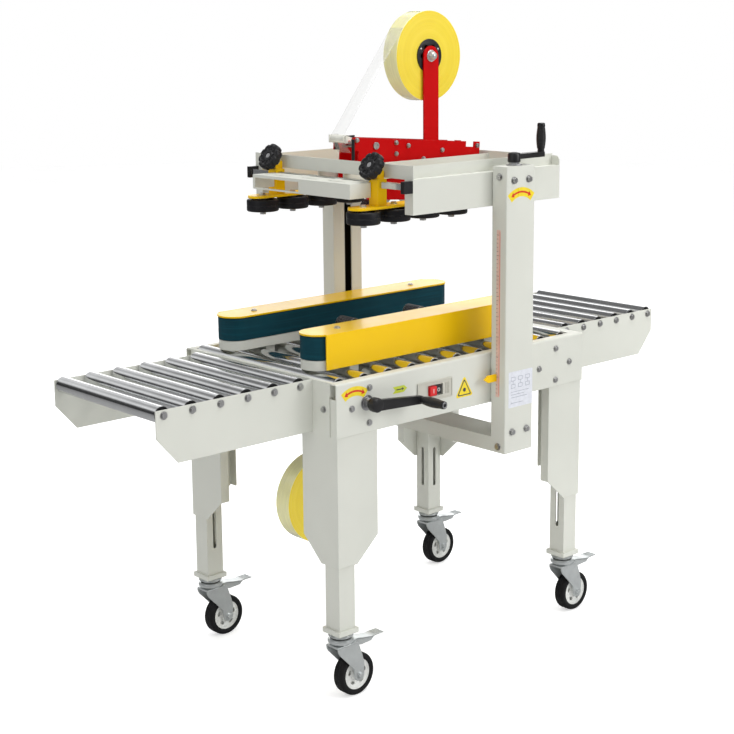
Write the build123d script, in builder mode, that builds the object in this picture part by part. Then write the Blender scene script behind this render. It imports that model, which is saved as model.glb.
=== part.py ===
from build123d import *
import os
from math import atan2, cos, degrees, dist, radians, sin

os.makedirs("parts", exist_ok=True)

# All sizes are in millimetres. The machine frame has X = 0 at the infeed end of the bed and X rising
# towards the outfeed, Y = 0 on the centre plane with the operator's side at negative Y, and Z = 0 on
# the floor. TO_ROW moves each finished piece so that the origin is under the middle of the machine.
NEAR = -1
FAR = 1

# Bed
BED_LENGTH = 850
BED_HALF = 286
SHEET = 3
TABLE_Z = 767
BED_BOTTOM = 641
LIP = 24
RETURN_Z = 735
ROLLER_R = 19
ROLLER_Z = 755
AXLE_R = 6
AXLE_CLEARANCE = 0.2
BED_ROLLERS = 11
BED_PITCH = 76
FIRST_BED_ROLLER = 33
HEAD_OPENING = 45
SPLIT_ROLLERS = (2, 8)
SHAFT_X = (147, 603)
SHAFT_Z = 700
SHAFT_R = 10
CROSS_TUBE_X = (161, 632)
CROSS_TUBE_TOP = 682
CROSS_TUBE = 20
LOWER_HEAD_SPAN = (165, 652)
TABLE_END_STRIP = (12, 30)
SWITCH_MID = (309, 704)
SWITCH_HOLE = (50, 28)
GLAND = (700, 676)
END_BOLT_Z = 703

# Wings
WING_HALF = 203
INFEED_WING = 429
OUTFEED_WING = 397
WING_BOTTOM = 645
WING_END_Z = 706
WING_CHAMFER = 54
WING_ROLLERS = 6
INFEED_PITCH = 74.6
OUTFEED_PITCH = 69
INFEED_FIRST = 36
OUTFEED_FIRST = 33

# Legs and casters
COVER_X = 126
COVER_Y = 123
COVER_TOP = 730
COVER_BOTTOM = 331
TUBE = 48
TUBE_FACE = 7
TUBE_BOTTOM = 177
TUBE_TOP = 560
CASTER_TOP = 165
FOOT_HALF = 30
LEG_SLOT_Z = 303
LEG_SLOT = (114, 10)
WHEEL_R = 52
WHEEL_WIDTH = 32
TRAIL = 39

# Columns
COLUMN_X = (499, 599)
COLUMN_IN = 292
COLUMN_OUT = 338
COLUMN_Z = (518, 1223)
SLOT_X = (538, 563)
SLOT_Z = (700, 1215)
CROSS_BEAM_TOP = 555
PAD_X = ((503, 530), (570, 595))
PAD_Z = ((650, 690), (725, 755))
SCREW_R = 8
HEIGHT_SCREW = (549, 315)

# Head frame
HEAD_X = (237, 745)
HEAD_Z = (1127, 1209)
BEAM_OUT = 289.5
BEAM_IN = 262
TRAY_TOP = 1237
HANGER_Y = (44, 48)

# Side press units
PRESS_Y = 187
PRESS_ROLLER_X = (176, 272, 368, 464)
PRESS_ROLLER_R = 40
PRESS_ROLLER_Z = (1104, 1134)
BAR_X = (214, 230)
BAR_Z = (1186, 1200)
KNOB_CENTRE = (203, 1236)
KNOB_TILT = 30

# Tape heads
HEAD_TILT = 4.5
PLATE_Y = (32, 36)
UPPER_MID = (502, 1273)
LOWER_MID = (404, 655)
UPPER_DEPTH = 150
LOWER_DEPTH = 113
ARM_PIVOT = (45, 90)
ARM_ROLLER = (115, 172)
ARM_ROLLER_R = 18
ARM_Y = (26, 30)
PIN_R = 6
RUNNING = 0.05
ROLL_R = 112
CORE_R = 38
TAPE_HALF = 24
UPPER_ROLL = (549, 1479)
LOWER_ROLL = (180, 405)

# Side belts
BELT_Y = 157
PULLEY_X = (58, 727)
PULLEY_R = 37.7
BELT_IN = 38
BELT_OUT = 42
BELT_Z = (803, 857)
BASE_Z = (778, 801.5)
COVER_Z = (859, 863)
WIDTH_SCREW = (92, 711)

# Bounding-box centre of the machine frame's X and Y, moved to the row's origin
CENTRE_X = 409
CENTRE_Y = -28.4
TO_ROW = Location((-CENTRE_X, -CENTRE_Y, 0))

TURNS = {"X": (0, 90, 0), "Y": (90, 0, 0), "Z": (0, 0, 0)}
pieces = {}


def span(side, inner, outer):
    """Low and high Y limits of a range given by its distances from the centre plane."""
    return tuple(sorted((side * inner, side * outer)))


def block(x, y, z, mode=Mode.ADD):
    """Box given by its low and high limit on each axis."""
    with Locations(((x[0] + x[1]) / 2, (y[0] + y[1]) / 2, (z[0] + z[1]) / 2)):
        Box(x[1] - x[0], y[1] - y[0], z[1] - z[0], mode=mode)


def rod(axis, centre, radius, length, mode=Mode.ADD):
    """Cylinder centred on a point, along X, Y or Z."""
    with Locations(centre):
        Cylinder(radius, length, rotation=TURNS[axis], mode=mode)


def side_view(y):
    """Plane whose local axes are X and Z, at one Y; it faces the operator."""
    return Plane.XZ.offset(-y)


def bolt_head(point, direction, radius=7, height=4.5):
    """Hexagon bolt head with its washer, standing on a face at a point."""
    seat = Plane(origin=point, z_dir=direction)
    with BuildSketch(seat) as washer:
        Circle(radius + 2)
    extrude(washer.sketch, amount=1.2)
    with BuildSketch(seat.offset(1.2)) as hexagon:
        RegularPolygon(radius, 6)
    extrude(hexagon.sketch, amount=height)


def plate(points, plane, amount, mode=Mode.ADD):
    """Flat plate of a straight-sided outline drawn on a plane."""
    with BuildSketch(plane) as outline:
        with BuildLine():
            Polyline(*points, close=True)
        make_face()
    extrude(outline.sketch, amount=amount, mode=mode)


def link(start, end, radius, plane, amount):
    """Flat link with round ends between two sketch points."""
    middle = ((start[0] + end[0]) / 2, (start[1] + end[1]) / 2)
    angle = degrees(atan2(end[1] - start[1], end[0] - start[0]))
    with BuildSketch(plane) as outline:
        with Locations(middle):
            SlotCenterToCenter(dist(start, end), 2 * radius, rotation=angle)
    extrude(outline.sketch, amount=amount)


def bed_roller_x(index):
    return FIRST_BED_ROLLER + BED_PITCH * index


def infeed_roller_x(index):
    return -INFEED_FIRST - INFEED_PITCH * index


def outfeed_roller_x(index):
    return BED_LENGTH + OUTFEED_FIRST + OUTFEED_PITCH * index


# ---------------------------------------------------------------- bed


def side_panel(side):
    """Folded side of the bed: web, rounded top lip and an inner return that carries the roller axles."""
    with BuildPart() as panel:
        with BuildSketch(Plane.YZ):
            with Locations((side * (BED_HALF - LIP / 2), (TABLE_Z + BED_BOTTOM) / 2)):
                Rectangle(LIP, TABLE_Z - BED_BOTTOM)
            with Locations((side * (BED_HALF - LIP / 2), (TABLE_Z - SHEET + BED_BOTTOM) / 2)):
                Rectangle(LIP - 2 * SHEET, TABLE_Z - SHEET - BED_BOTTOM, mode=Mode.SUBTRACT)
            with Locations((side * (BED_HALF - LIP + SHEET / 2), (RETURN_Z + BED_BOTTOM) / 2)):
                Rectangle(SHEET, RETURN_Z - BED_BOTTOM, mode=Mode.SUBTRACT)
        extrude(amount=BED_LENGTH)
        outer = panel.edges().filter_by(Axis.X).sort_by(lambda e: side * e.center().Y + e.center().Z)[-1]
        fillet(outer, 5)
        for index in range(BED_ROLLERS):
            hole = (bed_roller_x(index), side * (BED_HALF - LIP + SHEET / 2), ROLLER_Z)
            rod("Y", hole, AXLE_R + AXLE_CLEARANCE, 2 * SHEET, Mode.SUBTRACT)
        if side == NEAR:
            screw_hole = (WIDTH_SCREW[0], -BED_HALF + SHEET / 2, WIDTH_SCREW[1])
            rod("Y", screw_hole, 12 + RUNNING, 2 * SHEET, Mode.SUBTRACT)
            with Locations((SWITCH_MID[0], -BED_HALF + SHEET / 2, SWITCH_MID[1])):
                Box(SWITCH_HOLE[0], 2 * SHEET, SWITCH_HOLE[1], mode=Mode.SUBTRACT)
    return panel


pieces["near_side_panel"] = side_panel(NEAR)
pieces["far_side_panel"] = side_panel(FAR)

RAIL_Y = (40, 43)
END_HALF = 261.5
with BuildPart() as bed_cross_members:
    block((0, SHEET), (-END_HALF, END_HALF), (BED_BOTTOM, TABLE_Z))
    block((0, TABLE_END_STRIP[0]), (-END_HALF, END_HALF), (TABLE_Z - SHEET, TABLE_Z))
    block((BED_LENGTH - SHEET, BED_LENGTH), (-END_HALF, END_HALF), (BED_BOTTOM, TABLE_Z))
    outfeed_strip = (BED_LENGTH - TABLE_END_STRIP[1], BED_LENGTH)
    block(outfeed_strip, (-END_HALF, END_HALF), (TABLE_Z - SHEET, TABLE_Z))
    for x in SHAFT_X:
        rod("Y", (x, 0, SHAFT_Z), SHAFT_R, 2 * (BED_HALF - SHEET))
    for x in CROSS_TUBE_X:
        tube_z = (BED_BOTTOM + 4, CROSS_TUBE_TOP)
        block((x, x + CROSS_TUBE), (-BED_HALF + SHEET, BED_HALF - SHEET), tube_z)
    for side in (NEAR, FAR):
        block(LOWER_HEAD_SPAN, span(side, *RAIL_Y), (CROSS_TUBE_TOP, TABLE_Z - SHEET))
        for index in range(SPLIT_ROLLERS[0], SPLIT_ROLLERS[1] + 1):
            hole = (bed_roller_x(index), side * sum(RAIL_Y) / 2, ROLLER_Z)
            rod("Y", hole, AXLE_R + AXLE_CLEARANCE, 2 * SHEET, Mode.SUBTRACT)
pieces["bed_cross_members"] = bed_cross_members


def roller(x, y_low, y_high, axle_low, axle_high):
    """Steel roller with recessed end caps on a fixed axle."""
    middle = (y_low + y_high) / 2
    rod("Y", (x, middle, ROLLER_Z), ROLLER_R, y_high - y_low)
    for end, inward in ((y_low, 1), (y_high, -1)):
        rod("Y", (x, end + inward, ROLLER_Z), ROLLER_R - 3, 2, Mode.SUBTRACT)
        rod("Y", (x, end + inward, ROLLER_Z), 10, 2)
    rod("Y", (x, (axle_low + axle_high) / 2, ROLLER_Z), AXLE_R, axle_high - axle_low)


BED_ROLLER_END = 258
with BuildPart() as bed_rollers:
    for index in range(BED_ROLLERS):
        x = bed_roller_x(index)
        if SPLIT_ROLLERS[0] <= index <= SPLIT_ROLLERS[1]:
            for side in (NEAR, FAR):
                body = span(side, HEAD_OPENING, BED_ROLLER_END)
                axle = span(side, RAIL_Y[0], BED_HALF - LIP + SHEET + 4)
                roller(x, *body, *axle)
        else:
            reach = BED_HALF - LIP + SHEET + 4
            roller(x, -BED_ROLLER_END, BED_ROLLER_END, -reach, reach)
pieces["bed_rollers"] = bed_rollers


# ---------------------------------------------------------------- wings


def wing_frame(body_end, free_end, roller_xs):
    """Two chamfered side plates of a conveyor wing, joined by a cross strip under the rollers."""
    outward = 1 if free_end > body_end else -1
    corner = free_end - outward * WING_CHAMFER
    strip = body_end + outward * 70
    with BuildPart() as wing:
        for side in (NEAR, FAR):
            with BuildSketch(side_view(max(side * WING_HALF, side * (WING_HALF - SHEET)))):
                with BuildLine():
                    Polyline(
                        (body_end, TABLE_Z),
                        (free_end, TABLE_Z),
                        (free_end, WING_END_Z),
                        (corner, WING_BOTTOM),
                        (body_end, WING_BOTTOM),
                        close=True,
                    )
                make_face()
                with Locations(*[(x, ROLLER_Z) for x in roller_xs]):
                    Circle(AXLE_R + AXLE_CLEARANCE, mode=Mode.SUBTRACT)
            extrude(amount=SHEET)
            flange = tuple(sorted((body_end, body_end + outward * SHEET)))
            block(flange, span(side, WING_HALF - 28, WING_HALF), (WING_BOTTOM, RETURN_Z))
        strip_x = tuple(sorted((strip, strip + outward * 40)))
        block(strip_x, (-WING_HALF + SHEET, WING_HALF - SHEET), (WING_BOTTOM + 8, WING_BOTTOM + 11))
        block((strip_x[0], strip_x[0] + 3), (-WING_HALF + SHEET, WING_HALF - SHEET), (WING_BOTTOM + 8, 690))
    return wing


def wing_rollers(roller_xs):
    with BuildPart() as rollers:
        for x in roller_xs:
            roller(x, -WING_HALF + 7, WING_HALF - 7, -WING_HALF, WING_HALF)
    return rollers


INFEED_XS = [infeed_roller_x(index) for index in range(WING_ROLLERS)]
OUTFEED_XS = [outfeed_roller_x(index) for index in range(WING_ROLLERS)]
pieces["infeed_wing_frame"] = wing_frame(0, -INFEED_WING, INFEED_XS)
pieces["infeed_rollers"] = wing_rollers(INFEED_XS)
pieces["outfeed_wing_frame"] = wing_frame(BED_LENGTH, BED_LENGTH + OUTFEED_WING, OUTFEED_XS)
pieces["outfeed_rollers"] = wing_rollers(OUTFEED_XS)


# ---------------------------------------------------------------- legs

FOOT_WIDTH = 60
SIDE_IN = BED_HALF - SHEET
with BuildPart() as leg_covers:
    cover_z = (COVER_BOTTOM, COVER_TOP)
    block((SHEET, COVER_X), (-SIDE_IN, -SIDE_IN + SHEET), cover_z)
    block((SHEET, 2 * SHEET), (-SIDE_IN, -SIDE_IN + COVER_Y), cover_z)
    block((COVER_X - SHEET, COVER_X), (-SIDE_IN, -SIDE_IN + 25), cover_z)
    block((SHEET, SHEET + 25), (-SIDE_IN + COVER_Y - SHEET, -SIDE_IN + COVER_Y), cover_z)
    with BuildSketch(side_view(-SIDE_IN + 30)):
        with BuildLine():
            Polyline(
                (FOOT_WIDTH, COVER_BOTTOM - 1),
                (COVER_X + 1, COVER_BOTTOM - 1),
                (COVER_X + 1, COVER_BOTTOM + 59),
                close=True,
            )
        make_face()
    extrude(amount=31, mode=Mode.SUBTRACT)
    with BuildSketch(Plane.YZ.offset(SHEET)):
        with BuildLine():
            Polyline(
                (-SIDE_IN + FOOT_WIDTH, COVER_BOTTOM - 1),
                (-SIDE_IN + COVER_Y + 1, COVER_BOTTOM - 1),
                (-SIDE_IN + COVER_Y + 1, COVER_BOTTOM + 59),
                close=True,
            )
        make_face()
    extrude(amount=30, mode=Mode.SUBTRACT)
    rod("Y", (WIDTH_SCREW[0], -SIDE_IN, WIDTH_SCREW[1]), 14, 4 * SHEET, Mode.SUBTRACT)
    mirror(about=Plane.XZ)
    mirror(about=Plane.YZ.offset(BED_LENGTH / 2))
pieces["leg_covers"] = leg_covers

LEG_CENTRE_X = TUBE_FACE + TUBE / 2
LEG_CENTRE_Y = BED_HALF - TUBE_FACE - TUBE / 2
with BuildPart() as inner_legs:
    tube_x = (TUBE_FACE, TUBE_FACE + TUBE)
    tube_y = (-LEG_CENTRE_Y - TUBE / 2, -LEG_CENTRE_Y + TUBE / 2)
    block(tube_x, tube_y, (TUBE_BOTTOM, TUBE_TOP))
    hollow_x = (tube_x[0] + SHEET, tube_x[1] - SHEET)
    hollow_y = (tube_y[0] + SHEET, tube_y[1] - SHEET)
    block(hollow_x, hollow_y, (TUBE_BOTTOM, TUBE_TOP + 1), Mode.SUBTRACT)
    with BuildSketch(side_view(tube_y[1] + 1)):
        with Locations((LEG_CENTRE_X, LEG_SLOT_Z)):
            SlotOverall(*LEG_SLOT, rotation=90)
    extrude(amount=SHEET + 2, mode=Mode.SUBTRACT)
    with BuildSketch(Plane.YZ.offset(tube_x[1] - SHEET - 1)):
        with Locations((-LEG_CENTRE_Y, LEG_SLOT_Z)):
            SlotOverall(*LEG_SLOT, rotation=90)
    extrude(amount=SHEET + 2, mode=Mode.SUBTRACT)
    foot_x = (LEG_CENTRE_X - FOOT_HALF, LEG_CENTRE_X + FOOT_HALF)
    foot_y = (-LEG_CENTRE_Y - FOOT_HALF, -LEG_CENTRE_Y + FOOT_HALF)
    block(foot_x, foot_y, (CASTER_TOP, TUBE_BOTTOM))
    rod("Z", (LEG_CENTRE_X, -LEG_CENTRE_Y, CASTER_TOP + 6), 8 + RUNNING, 20, Mode.SUBTRACT)
    mirror(about=Plane.XZ)
    mirror(about=Plane.YZ.offset(BED_LENGTH / 2))
pieces["inner_legs"] = inner_legs

FORK_HALF = 22
FORK_T = 4


def caster_fork(x, y):
    """Swivel race, crown, two fork cheeks, axle bolt and the brake pedal of one caster."""
    axle_x = x + TRAIL
    with BuildPart() as fork:
        rod("Z", (x, y, 166), 8, 22)
        with BuildSketch(Plane.XY.offset(136)):
            with Locations((x, y)):
                Circle(22)
        extrude(amount=28)
        with BuildSketch(Plane.XY.offset(142)):
            with Locations((x, y)):
                Circle(30)
        extrude(amount=16)
        block((x - 26, x + 34), (y - FORK_HALF, y + FORK_HALF), (128, 136))
        for cheek in (y - FORK_HALF + FORK_T, y + FORK_HALF):
            with BuildSketch(side_view(cheek)):
                with BuildLine():
                    Polyline(
                        (x - 26, 136),
                        (x + 34, 136),
                        (axle_x + 13, WHEEL_R),
                        (axle_x - 12, WHEEL_R - 6),
                        close=True,
                    )
                make_face()
                with Locations((axle_x, WHEEL_R)):
                    Circle(13)
            extrude(amount=FORK_T)
        rod("Y", (axle_x, y, WHEEL_R), AXLE_R, 2 * FORK_HALF)
        for side in (-1, 1):
            bolt_head((axle_x, y + side * FORK_HALF, WHEEL_R), (0, side, 0), 8, 6)
        with BuildSketch(side_view(y + 14)):
            with BuildLine():
                Polyline(
                    (x + 30, 136),
                    (x + 84, 118),
                    (x + 96, 121),
                    (x + 96, 126),
                    (x + 84, 124),
                    (x + 34, 142),
                    (x + 30, 142),
                    close=True,
                )
            make_face()
        extrude(amount=28)
    return fork


def caster_wheel(x, y):
    """Rubber tyre on a drilled hub."""
    with BuildPart() as wheel:
        hub_face = 13
        with BuildSketch(side_view(y)):
            with Locations((x, WHEEL_R)):
                Circle(WHEEL_R)
                Circle(WHEEL_R - 14, mode=Mode.SUBTRACT)
        extrude(amount=WHEEL_WIDTH / 2, both=True)
        rim = wheel.edges().filter_by(GeomType.CIRCLE).sort_by(lambda e: e.radius)[-2:]
        fillet(rim, 6)
        with BuildSketch(side_view(y)):
            with Locations((x, WHEEL_R)):
                Circle(WHEEL_R - 14)
                Circle(AXLE_R + RUNNING, mode=Mode.SUBTRACT)
        extrude(amount=hub_face, both=True)
        for side in (-1, 1):
            face = side_view(y + side * hub_face)
            with BuildSketch(face):
                with Locations((x, WHEEL_R)):
                    with PolarLocations(24, 5):
                        Circle(6.5)
            extrude(amount=side * 7, mode=Mode.SUBTRACT)
    return wheel


def leg_centres():
    for x in (LEG_CENTRE_X, BED_LENGTH - LEG_CENTRE_X):
        for side in (NEAR, FAR):
            yield x, side * LEG_CENTRE_Y


for number, (x, y) in enumerate(leg_centres(), start=1):
    pieces[f"caster_fork_{number}"] = caster_fork(x, y)
    pieces[f"caster_wheel_{number}"] = caster_wheel(x + TRAIL, y)


# ---------------------------------------------------------------- columns


def column(side):
    """Folded post with a guide slot in its inner wall and spacers against the bed."""
    screw = (HEIGHT_SCREW[0], side * HEIGHT_SCREW[1])
    with BuildPart() as post:
        block(COLUMN_X, span(side, COLUMN_IN, COLUMN_OUT), COLUMN_Z)
        upright = [edge for edge in post.edges().filter_by(Axis.Z) if abs(edge.center().Y) > 330]
        fillet(upright, 3)
        hollow_x = (COLUMN_X[0] + SHEET, COLUMN_X[1] - SHEET)
        hollow_y = span(side, COLUMN_IN + SHEET, COLUMN_OUT - SHEET)
        block(hollow_x, hollow_y, (COLUMN_Z[0] + SHEET, COLUMN_Z[1] - SHEET), Mode.SUBTRACT)
        block(SLOT_X, span(side, COLUMN_IN - 1, COLUMN_IN + SHEET + 1), SLOT_Z, Mode.SUBTRACT)
        rod("Z", (*screw, COLUMN_Z[1]), SCREW_R + RUNNING, 4 * SHEET, Mode.SUBTRACT)
        for pad_x in PAD_X:
            for pad_z in PAD_Z:
                block(pad_x, span(side, BED_HALF, COLUMN_IN), pad_z)
    return post


pieces["near_column"] = column(NEAR)
pieces["far_column"] = column(FAR)

with BuildPart() as column_cross_beam:
    beam_y = (-COLUMN_IN, COLUMN_IN)
    block(COLUMN_X, beam_y, (COLUMN_Z[0], CROSS_BEAM_TOP))
    inside = (COLUMN_X[0] + SHEET, COLUMN_X[1] - SHEET)
    end_wall = COLUMN_IN - SHEET
    block(inside, (-end_wall, end_wall), (COLUMN_Z[0] - 1, CROSS_BEAM_TOP - SHEET), Mode.SUBTRACT)
pieces["column_cross_beam"] = column_cross_beam

with BuildPart() as far_height_screw:
    rod("Z", (HEIGHT_SCREW[0], HEIGHT_SCREW[1], 869), SCREW_R, 696)
    rod("Z", (HEIGHT_SCREW[0], HEIGHT_SCREW[1], 530), 14, 14)
pieces["far_height_screw"] = far_height_screw

CRANK_ARM = 96
with BuildPart() as height_crank:
    screw_x = HEIGHT_SCREW[0]
    screw_y = -HEIGHT_SCREW[1]
    rod("Z", (screw_x, screw_y, 876), SCREW_R, 708)
    rod("Z", (screw_x, screw_y, 530), 14, 14)
    rod("Z", (screw_x, screw_y, COLUMN_Z[1] + 4), 15, 7)
    rod("Z", (screw_x, screw_y, COLUMN_Z[1] + 19), 14, 23)
    with BuildSketch(Plane.XY.offset(1238)):
        with Locations((screw_x + CRANK_ARM / 2, screw_y)):
            SlotOverall(CRANK_ARM + 22, 22)
    extrude(amount=12)
    with BuildSketch(side_view(screw_y)):
        with BuildLine():
            Polyline(
                (screw_x + CRANK_ARM, 1250),
                (screw_x + CRANK_ARM + 9, 1250),
                (screw_x + CRANK_ARM + 12, 1290),
                (screw_x + CRANK_ARM + 9, 1320),
                (screw_x + CRANK_ARM, 1320),
                close=True,
            )
        make_face()
    revolve(axis=Axis((screw_x + CRANK_ARM, screw_y, 0), (0, 0, 1)))
pieces["height_crank"] = height_crank


# ---------------------------------------------------------------- head frame

with BuildPart() as head_frame:
    inner_x = (HEAD_X[0] + SHEET, HEAD_X[1] - SHEET)
    for side in (NEAR, FAR):
        block(HEAD_X, span(side, BEAM_IN, BEAM_OUT), HEAD_Z)
        hollow_y = span(side, BEAM_IN + SHEET, BEAM_OUT - SHEET)
        block(inner_x, hollow_y, (HEAD_Z[0] - 1, HEAD_Z[1] - SHEET), Mode.SUBTRACT)
        block(HEAD_X, span(side, BEAM_IN, BEAM_IN + SHEET), (HEAD_Z[0], TRAY_TOP))
        block(inner_x, span(side, *HANGER_Y), (1185, 1225))
        slide_y = span(side, BEAM_OUT - SHEET, COLUMN_IN + SHEET + 2)
        block((SLOT_X[0] + 2, SLOT_X[1] - 2), slide_y, (1137, 1207))
        slider_x = (COLUMN_X[0] + SHEET + 2, COLUMN_X[1] - SHEET - 2)
        block(slider_x, span(side, COLUMN_IN + SHEET + 1, COLUMN_OUT - SHEET - 2), (1137, 1207))
        nut = (HEIGHT_SCREW[0], side * HEIGHT_SCREW[1], 1172)
        rod("Z", nut, SCREW_R + RUNNING, 80, Mode.SUBTRACT)
    cross_y = (-BEAM_OUT, BEAM_OUT)
    block((HEAD_X[0], HEAD_X[0] + SHEET), cross_y, (HEAD_Z[1] - 1, 1240))
    block((HEAD_X[0], HEAD_X[0] + 25), (-BEAM_IN, BEAM_IN), (HEAD_Z[1] - 1, HEAD_Z[1] + 2))
    with BuildSketch(Plane.YZ.offset(HEAD_X[1] - SHEET)):
        with Locations((0, (HEAD_Z[0] + 1232) / 2)):
            Rectangle(2 * BEAM_OUT, 1232 - HEAD_Z[0])
    extrude(amount=SHEET)
    plate_top = [
        edge
        for edge in head_frame.edges().filter_by(Axis.X)
        if abs(edge.center().Z - 1232) < 0.1 and abs(edge.center().Y) > BEAM_OUT - 1
    ]
    fillet(plate_top, 12)
pieces["head_frame"] = head_frame

FRONT_X = (141, 206)
FRONT_Z = (1163, 1198)
FRONT_HALF = 180
with BuildPart() as press_rail:
    block(BAR_X, (-278, 278), BAR_Z)
    for side in (NEAR, FAR):
        block((209, HEAD_X[0]), span(side, 278, BEAM_OUT), (1178, 1206))
        block(FRONT_X, span(side, FRONT_HALF - SHEET, FRONT_HALF), FRONT_Z)
        block((FRONT_X[1] - SHEET, BAR_X[0]), span(side, 50, 70), (BAR_Z[0], FRONT_Z[1]))
    block(FRONT_X, (-FRONT_HALF, FRONT_HALF), (FRONT_Z[1] - SHEET, FRONT_Z[1]))
    block((FRONT_X[0], FRONT_X[0] + SHEET), (-FRONT_HALF, FRONT_HALF), FRONT_Z)
    block((FRONT_X[0] - 1, FRONT_X[0] + SHEET + 1), (5, 172), (1167, 1191), Mode.SUBTRACT)
    with BuildSketch(Plane.XY.offset(FRONT_Z[1] - SHEET - 1)):
        with Locations((170, -100), (170, 0), (170, 100)):
            SlotOverall(60, 8, rotation=90)
    extrude(amount=SHEET + 2, mode=Mode.SUBTRACT)
pieces["press_rail"] = press_rail

KNOB_AXIS = (-cos(radians(KNOB_TILT)), 0, sin(radians(KNOB_TILT)))


def knob_plane(side, along):
    """Plane across the clamp knob's axis, a distance along it from the knob's middle."""
    centre = Vector(KNOB_CENTRE[0], side * PRESS_Y, KNOB_CENTRE[1]) + Vector(*KNOB_AXIS) * along
    return Plane(origin=centre, x_dir=(0, 1, 0), z_dir=KNOB_AXIS)


def press_carriage(side):
    """Sliding block on the guide bar, its clamp bracket, the roller plate and four roller studs."""
    y = side * PRESS_Y
    with BuildPart() as carriage:
        block((208, 236), (y - 15, y + 15), (1143, 1206))
        bar_x = (BAR_X[0] - RUNNING, BAR_X[1] + RUNNING)
        block(bar_x, (y - 16, y + 16), (BAR_Z[0] - RUNNING, BAR_Z[1] + RUNNING), Mode.SUBTRACT)
        clamp = [(212, 1206), (234, 1206), (234, 1224), (221, 1231.3), (213.5, 1218.3), (212, 1214)]
        plate(clamp, side_view(y + 9), 18)
        with BuildSketch(Plane.XY.offset(1138)):
            with Locations(((PRESS_ROLLER_X[0] + PRESS_ROLLER_X[-1]) / 2, y)):
                SlotOverall(PRESS_ROLLER_X[-1] - PRESS_ROLLER_X[0] + 78, 54)
        extrude(amount=6)
        for x in PRESS_ROLLER_X:
            rod("Z", (x, y, 1119), AXLE_R, 38)
            rod("Z", (x, y, 1136.5), 11, 4)
            bolt_head((x, y, 1102), (0, 0, -1), 8, 5)
            bolt_head((x, y, 1144), (0, 0, 1), 7, 4)
        with BuildSketch(knob_plane(side, -60)):
            Circle(5 + RUNNING)
        extrude(amount=60, mode=Mode.SUBTRACT)
    return carriage


def star_knob(side):
    """Scalloped clamp knob with its threaded stud."""
    with BuildPart() as knob:
        with BuildSketch(knob_plane(side, 0)):
            Circle(31)
            with PolarLocations(35, 10):
                Circle(6.5, mode=Mode.SUBTRACT)
        extrude(amount=10, both=True)
        rims = knob.faces().sort_by(Axis(knob_plane(side, 0).origin, KNOB_AXIS))[-1].edges()
        fillet(rims, 2)
        with BuildSketch(knob_plane(side, -16)):
            Circle(13)
        extrude(amount=8)
        with BuildSketch(knob_plane(side, -34)):
            Circle(5)
        extrude(amount=28)
    return knob


def press_roller(x, side):
    """Rubber-covered roller on a vertical stud."""
    low, high = PRESS_ROLLER_Z
    with BuildPart() as press:
        with BuildSketch(Plane.XY.offset(low)):
            with Locations((x, side * PRESS_Y)):
                Circle(PRESS_ROLLER_R)
                Circle(AXLE_R + RUNNING, mode=Mode.SUBTRACT)
        extrude(amount=high - low)
        rim = press.edges().filter_by(GeomType.CIRCLE).sort_by(lambda e: e.radius)[-2:]
        fillet(rim, 4)
        with BuildSketch(Plane.XY.offset(low)):
            with Locations((x, side * PRESS_Y)):
                Circle(30)
                Circle(20, mode=Mode.SUBTRACT)
        extrude(amount=5, mode=Mode.SUBTRACT)
    return press


for side, label in ((NEAR, "near"), (FAR, "far")):
    pieces[f"{label}_press_carriage"] = press_carriage(side)
    pieces[f"{label}_clamp_knob"] = star_knob(side)
    for number, x in enumerate(PRESS_ROLLER_X, start=1):
        pieces[f"{label}_press_roller_{number}"] = press_roller(x, side)


# ---------------------------------------------------------------- tape heads


class TapeHead:
    """Side-view planes of one tape head: local x runs along it and local y away from its back edge."""

    def __init__(self, middle, tilt, upward):
        self.middle = middle
        self.along = (cos(radians(tilt)), 0, -sin(radians(tilt)))
        self.facing = -1 if upward else 1

    def plane(self, y):
        """Plane at one Y, with local x along the head and local y upwards."""
        return Plane(origin=(self.middle[0], y, self.middle[1]), x_dir=self.along, z_dir=(0, -1, 0))

    def at(self, along, depth):
        """Local sketch point, with depth measured from the back edge towards the carton."""
        return (along, self.facing * -depth)


UPPER = TapeHead(UPPER_MID, HEAD_TILT, False)
LOWER = TapeHead(LOWER_MID, 0, True)


def head_rod(head, along, depth, radius, half_length, mode=Mode.ADD):
    """Rod across a tape head."""
    with BuildSketch(head.plane(0)) as end:
        with Locations(head.at(along, depth)):
            Circle(radius)
    extrude(end.sketch, amount=half_length, both=True, mode=mode)


SPACERS = ((-190, 20), (190, 35), (0, 20), (-120, 25), (120, 25))
PLATE_BOLTS = ((-210, 6), (-79, 9), (-77, 36), (-37, 15), (83, 24), (18, 47), (210, 10))


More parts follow.
